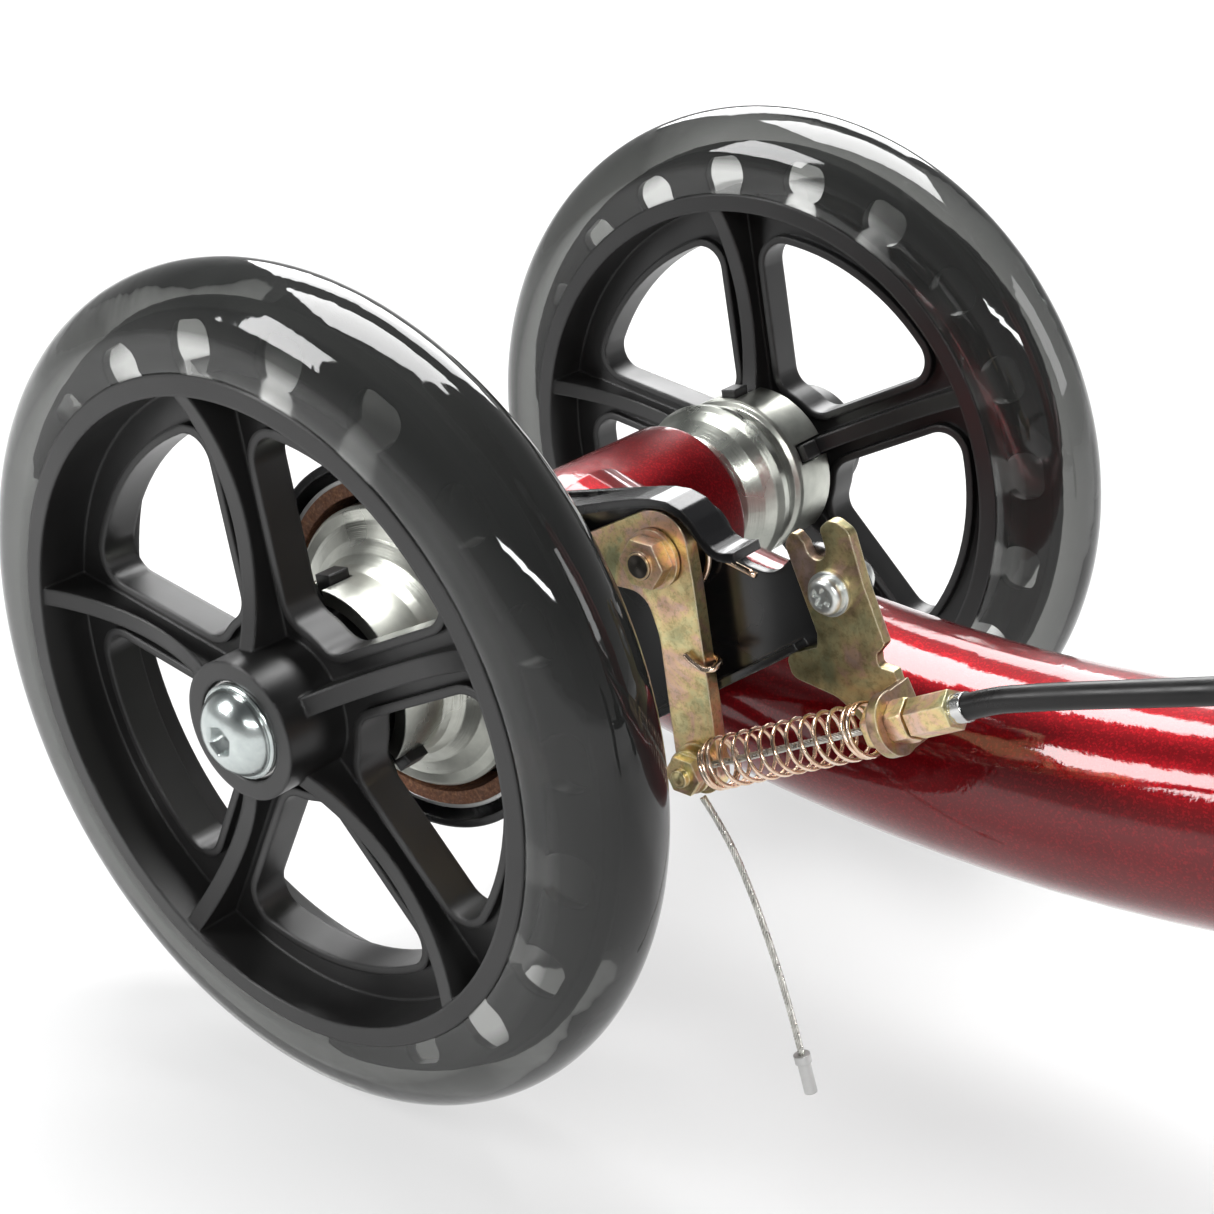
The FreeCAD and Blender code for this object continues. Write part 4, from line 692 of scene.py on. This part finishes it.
# the torsion spring behind the crank: one leg out from under the hood, one hooked round the crank's edge
TWIST_RADIUS, TWIST_STEPS = 0.0094, 90
twist = []
for k in range(TWIST_STEPS + 1):
    angle = math.radians(585 - 6 * k)
    across = -0.04695 - 0.0025 * k / TWIST_STEPS
    twist.append(PIVOT + Vector((TWIST_RADIUS * math.cos(angle), across, TWIST_RADIUS * math.sin(angle))))
leg_route = [twist[-1], rear(80.5, -49.5, 41.6), rear(83.5, -49.8, 40.4), rear(93.4, -50.2, 38.6)]
leg = smooth_path(leg_route, 6)[1:]
hook_route = [rear(78.6, -55, 18.4), rear(80.4, -55, 17.2), rear(83, -54.95, 16.3), rear(85.0, -54.2, 16.4),
              rear(85.3, -52.4, 16.9), rear(84.3, -50.6, 17.0), rear(80.6, -49.3, 17.3),
              rear(76.9, -48.2, 18.7), twist[0]]
hook = smooth_path(hook_route, 8)
torsion = piece("arm_spring_wire", *swept(hook[:-1] + twist + leg, 0.0007, 10), COPPER, None, "spring")
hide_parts("arm_spring")
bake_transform(torsion)


def ringed(spot, near, far, radius, pitch):
    """A stud's thread, as ridges along Y between two planes, with a bevelled end."""
    rows = [(0.05, near), (radius - 0.7, near), (radius - 0.15, near + 0.5)]
    ridge = near + 0.5
    while ridge + pitch < far:
        rows += [(radius + 0.12, ridge + pitch * 0.35), (radius - 0.3, ridge + pitch * 0.85)]
        ridge += pitch
    return turned(rows, rear(spot[0], 0, spot[1]), (0, 1, 0), 40, closed=False)


piece("clamp_stud_thread", *ringed((81.3, -8), -61.9, -60.2, 2.0, 0.5), GOLD, "brake_crank", "gold_zinc")
piece("pivot_stud_thread", *ringed((70.5, 38.3), -60.45, -59.1, 3.0, 0.5), DARK_STEEL, "frame", "gold_zinc")

# ---------------------------------------------------------------- cable casing across the joints


def casing_piece(name, controls, node):
    """A stretch of casing between two bodies, baked in place along a smooth path."""
    path = resampled(smooth_path(controls, 12), 0.003)
    obj = piece(name, *swept(path, 0.0026, 20), CASING, None, "casing")
    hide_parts(node)
    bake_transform(obj)
    return obj


steer_loop = [rear(432, -30, 124.5), rear(458.3, -30, 138.9), rear(482, -33, 158), rear(497, -35.5, 184),
              rear(508, -34, 213), steer(247, -6, -31), steer(275, -6, -31)]
casing_piece("casing_at_steering", steer_loop, "casing_steer_loop")
fold_loop = [steer(275, -6, -31), steer(303, -6, -31), steer(345, -19, -32.5), steer(388, -28, -35.5),
             steer(430, -31, -37), steer(472, -27, -35.5), steer(508, -12, -32.5), steer(534, 0, -31),
             steer(562, 0, -31)]
casing_piece("casing_at_fold", fold_loop, "casing_fold_loop")
bar_loop = [steer(562, 0, -31), steer(590, 0, -31), steer(616, 26, -27), steer(652, 43, -13),
            steer(692, 52, 2), steer(728, 50, 4), steer(756, 40, -12), steer(767, 27, -34),
            steer(768, 22, -58)]
casing_piece("casing_at_bar", bar_loop, "casing_bar_loop")

# the ferrule at the end of the casing is bright, the barrel it sits in is gold
FERRULE_START = 71.15
barrel = nodes["barrel_adjuster"].data
barrel.materials.append(STEEL)
for polygon in barrel.polygons:
    along = (polygon.center - CLAMP).dot(PULL) / MM
    polygon.material_index = 1 if along > FERRULE_START else 0

# ---------------------------------------------------------------- grips


def grip_profile():
    """Ribbed grip from its flange to its domed end."""
    ribs, pitch = 22, 5
    rows = [(11.1, 0), (19.5, 0), (20, 1), (20, 3), (18, 4.4), (15.6, 6)]
    for k in range(ribs):
        at = 10 + k * pitch
        rows += [(15.4, at), (16.4, at + 0.8), (16.5, at + 2.4), (15.4, at + 3.2)]
    rows += [(16.2, 122), (16.2, 128), (15, 130.4), (12, 131.8), (6, 132), (0.05, 132)]
    return rows


bar_middle = steer(770)
grip_parts = [turned(grip_profile(), bar_middle + Vector((0, out * 0.087, 0)), (0, out, 0), 72, closed=False)
              for out in (-1, 1)]
grips = piece("ribbed_grips", *joined(grip_parts), FOAM, "handlebar", "grip")
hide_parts("grips")

# ---------------------------------------------------------------- knee pads

PAD_LOW, PAD_TOP = 0.390, 0.450


def pad_mesh(name, y_low, y_high):
    """A closed form with rounded ends, a little smaller than the CAD pad."""
    first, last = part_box("knee_pad_left")
    low = Vector((first.x + 0.006, y_low + 0.005, PAD_LOW + 0.001))
    high = Vector((last.x - 0.006, y_high - 0.005, PAD_TOP - 0.007))
    bm = bmesh.new()
    bmesh.ops.create_cube(bm, size=1)
    for vert in bm.verts:
        vert.co = Vector(((low[i] + high[i]) / 2 + vert.co[i] * (high[i] - low[i]) for i in range(3)))
    upright = [e for e in bm.edges if abs((e.verts[0].co - e.verts[1].co).z) > 0.02]
    bmesh.ops.bevel(bm, geom=upright, offset=0.024, segments=8, affect="EDGES", profile=0.5)
    rims = [e for e in bm.edges if all(v.co.z > high.z - 1e-5 for v in e.verts) and len(e.link_faces) == 2
            and any(abs(f.normal.z) < 0.5 for f in e.link_faces)]
    bmesh.ops.bevel(bm, geom=rims, offset=0.010, segments=4, affect="EDGES", profile=0.5)
    mesh = bpy.data.meshes.new(name)
    bm.to_mesh(mesh)
    bm.free()
    obj = bpy.data.objects.new(name, mesh)
    scene.collection.objects.link(obj)
    remesh = obj.modifiers.new("Remesh", "REMESH")
    remesh.mode = "VOXEL"
    remesh.voxel_size = 0.0055
    bake(obj)
    return obj


def bake(obj):
    """Applies an object's modifiers to its mesh."""
    graph = bpy.context.evaluated_depsgraph_get()
    result = bpy.data.meshes.new_from_object(obj.evaluated_get(graph))
    obj.modifiers.clear()
    obj.data = result


def swell(obj, limit):
    """Blows the cover up with cloth, keeps its base flat, and caps how far a point may go."""
    rest = np.array([v.co for v in obj.data.vertices])
    cloth = obj.modifiers.new("Cloth", "CLOTH")
    cloth.settings.quality = 6
    cloth.settings.use_pressure = True
    cloth.settings.uniform_pressure_force = 4.0
    cloth.settings.effector_weights.gravity = 0
    cloth.settings.tension_stiffness = 12
    cloth.settings.compression_stiffness = 12
    cloth.settings.bending_stiffness = 0.6
    cloth.collision_settings.use_collision = False
    for frame_number in range(1, 21):
        scene.frame_set(frame_number)
    graph = bpy.context.evaluated_depsgraph_get()
    moved = bpy.data.meshes.new_from_object(obj.evaluated_get(graph))
    after = np.array([v.co for v in moved.vertices])
    obj.modifiers.clear()
    scene.frame_set(1)
    bpy.data.meshes.remove(moved)
    shift = after - rest
    length = np.linalg.norm(shift, axis=1, keepdims=True)
    shift *= np.minimum(1.0, limit / np.maximum(length, 1e-9))
    placed = rest + shift
    placed[:, 2] = np.maximum(placed[:, 2], PAD_LOW + 0.0006)
    obj.data.vertices.foreach_set("co", placed.ravel())
    obj.data.update()


def outline_at(obj, height, count=240, lift=0.0):
    """Points round a pad at one height, on its surface."""
    mesh = obj.data
    tree = BVHTree.FromPolygons([v.co for v in mesh.vertices], [p.vertices for p in mesh.polygons])
    lo = Vector(map(min, *[v.co for v in mesh.vertices]))
    hi = Vector(map(max, *[v.co for v in mesh.vertices]))
    middle, half = (lo + hi) / 2, (hi - lo) / 2
    spine = half.x - half.y
    found = []
    for k in range(count):
        angle = 2 * math.pi * k / count
        aim = Vector((math.cos(angle) * half.x * 2, math.sin(angle) * half.x * 2, 0))
        anchor = Vector((middle.x + max(-spine, min(spine, math.cos(angle) * half.x)), middle.y, height))
        hit, normal, _, _ = tree.ray_cast(anchor + aim, (-aim).normalized())
        if hit is not None:
            found.append(hit + normal * lift)
    return found


def closed_rod(path, radius):
    """A rod along a closed path, so without end faces."""
    points, faces = swept(path + path[:1], radius, 10)
    return points, faces[:-2]


def knee_pad(side_name, y_low, y_high):
    """A stuffed vinyl pad with two lines of piping and a line of stitches."""
    name = f"knee_pad_{side_name}_cover"
    pad = pad_mesh(name, y_low, y_high)
    swell(pad, 0.006)
    # a shallow valley along the middle, where the shin lies
    middle_y = (y_low + y_high) / 2
    for vert in pad.data.vertices:
        rise = max(0.0, (vert.co.z - PAD_LOW - 0.02) / (PAD_TOP - PAD_LOW - 0.02))
        vert.co.z -= 0.004 * rise * math.exp(-((vert.co.y - middle_y) / 0.018) ** 2)
    subdivision = pad.modifiers.new("Subdivision", "SUBSURF")
    subdivision.levels = subdivision.render_levels = 1
    bake(pad)
    for polygon in pad.data.polygons:
        polygon.use_smooth = True
    pad.data.materials.clear()
    pad.data.materials.append(VINYL)
    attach(pad, "knee_rest")
    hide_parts(f"knee_pad_{side_name}")
    seams, stitches = [], []
    for height in (0.4385, 0.3955):
        line = outline_at(pad, height, lift=0.0003)
        seams.append(closed_rod(line, 0.0016))
    line = resampled(outline_at(pad, 0.4335, 400, 0.0003), 0.0034)
    for a, b in zip(line, line[1:]):
        stitches.append(swept([a + (b - a) * 0.12, a + (b - a) * 0.82], 0.00035, 6))
    piece(f"knee_pad_{side_name}_piping", *joined(seams), VINYL, "knee_rest", "pad")
    piece(f"knee_pad_{side_name}_stitches", *joined(stitches), THREAD, "knee_rest", "pad")


for side_name in ("left", "right"):
    low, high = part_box(f"knee_pad_{side_name}")
    knee_pad(side_name, low.y, high.y)

# ---------------------------------------------------------------- floor and light


FLOOR = 30               # from the middle of the floor to its edge


def stage_floor():
    """A light table: a pale floor that also glows a little, so that it stays pale far away."""
    n = Nodes("pale_floor")
    colour = n.mix(n.span(n.noise(3, 2), 0, 1), (0.20, 0.20, 0.20), (0.22, 0.22, 0.22))
    material = n.finish(colour, 0.85, 0.0, Emission_Color=(1, 1, 1, 1), Emission_Strength=0.6)
    corners = [(-FLOOR, -FLOOR, 0), (FLOOR, -FLOOR, 0), (FLOOR, FLOOR, 0), (-FLOOR, FLOOR, 0)]
    floor = piece("floor", corners, [(0, 1, 2, 3)], material, smooth=False)


def softbox(name, at, towards, width, height, watts):
    """A soft area light, in metres and watts."""
    data = bpy.data.lights.new(name, "AREA")
    data.shape = "RECTANGLE"
    data.size, data.size_y = width, height
    data.energy = watts
    lamp = bpy.data.objects.new(name, data)
    scene.collection.objects.link(lamp)
    lamp.location = at
    lamp.rotation_mode = "QUATERNION"
    lamp.rotation_quaternion = (Vector(towards) - Vector(at)).to_track_quat("-Z", "Y")
    lamp.visible_camera = False


stage_floor()
TARGET = (-0.2, 0, 0.1)
softbox("overhead", (-0.6, 0.6, 2.3), TARGET, 1.9, 1.2, 118)
softbox("beside_camera", (1.15, -1.35, 1.15), TARGET, 1.3, 0.11, 18)
softbox("right_side", (-1.6, -1.7, 1.5), TARGET, 0.8, 1.1, 45)
softbox("left_back", (-1.5, 1.9, 1.3), TARGET, 1.8, 1.2, 55)
softbox("ahead", (2.3, 1.0, 1.6), TARGET, 1.1, 1.6, 28)



def studio_world():
    """Light that fades from a pale horizon to a dim ceiling, behind a plain pale wall."""
    world = bpy.data.worlds.new("Studio")
    scene.world = world
    world.use_nodes = True
    tree = world.node_tree
    background = tree.nodes["Background"]
    direction = tree.nodes.new("ShaderNodeTexCoord").outputs["Generated"]
    split = tree.nodes.new("ShaderNodeSeparateXYZ")
    tree.links.new(direction, split.inputs[0])
    ramp = tree.nodes.new("ShaderNodeValToRGB")
    tree.links.new(split.outputs["Z"], ramp.inputs[0])
    horizon, ceiling = ramp.color_ramp.elements
    horizon.position, horizon.color = 0.0, (0.80, 0.80, 0.80, 1)
    ceiling.position, ceiling.color = 0.45, (0.16, 0.165, 0.17, 1)
    tree.links.new(ramp.outputs[0], background.inputs["Color"])
    background.inputs["Strength"].default_value = 0.62
    wall = tree.nodes.new("ShaderNodeBackground")
    wall.inputs["Color"].default_value = (0.66, 0.66, 0.66, 1)
    rays = tree.nodes.new("ShaderNodeLightPath")
    shown = tree.nodes.new("ShaderNodeMixShader")
    tree.links.new(rays.outputs["Is Camera Ray"], shown.inputs[0])
    tree.links.new(background.outputs[0], shown.inputs[1])
    tree.links.new(wall.outputs[0], shown.inputs[2])
    tree.links.new(shown.outputs[0], tree.nodes["World Output"].inputs["Surface"])


studio_world()

scene.view_settings.view_transform = "Standard"
scene.view_settings.look = "None"
scene.view_settings.exposure = 0.0
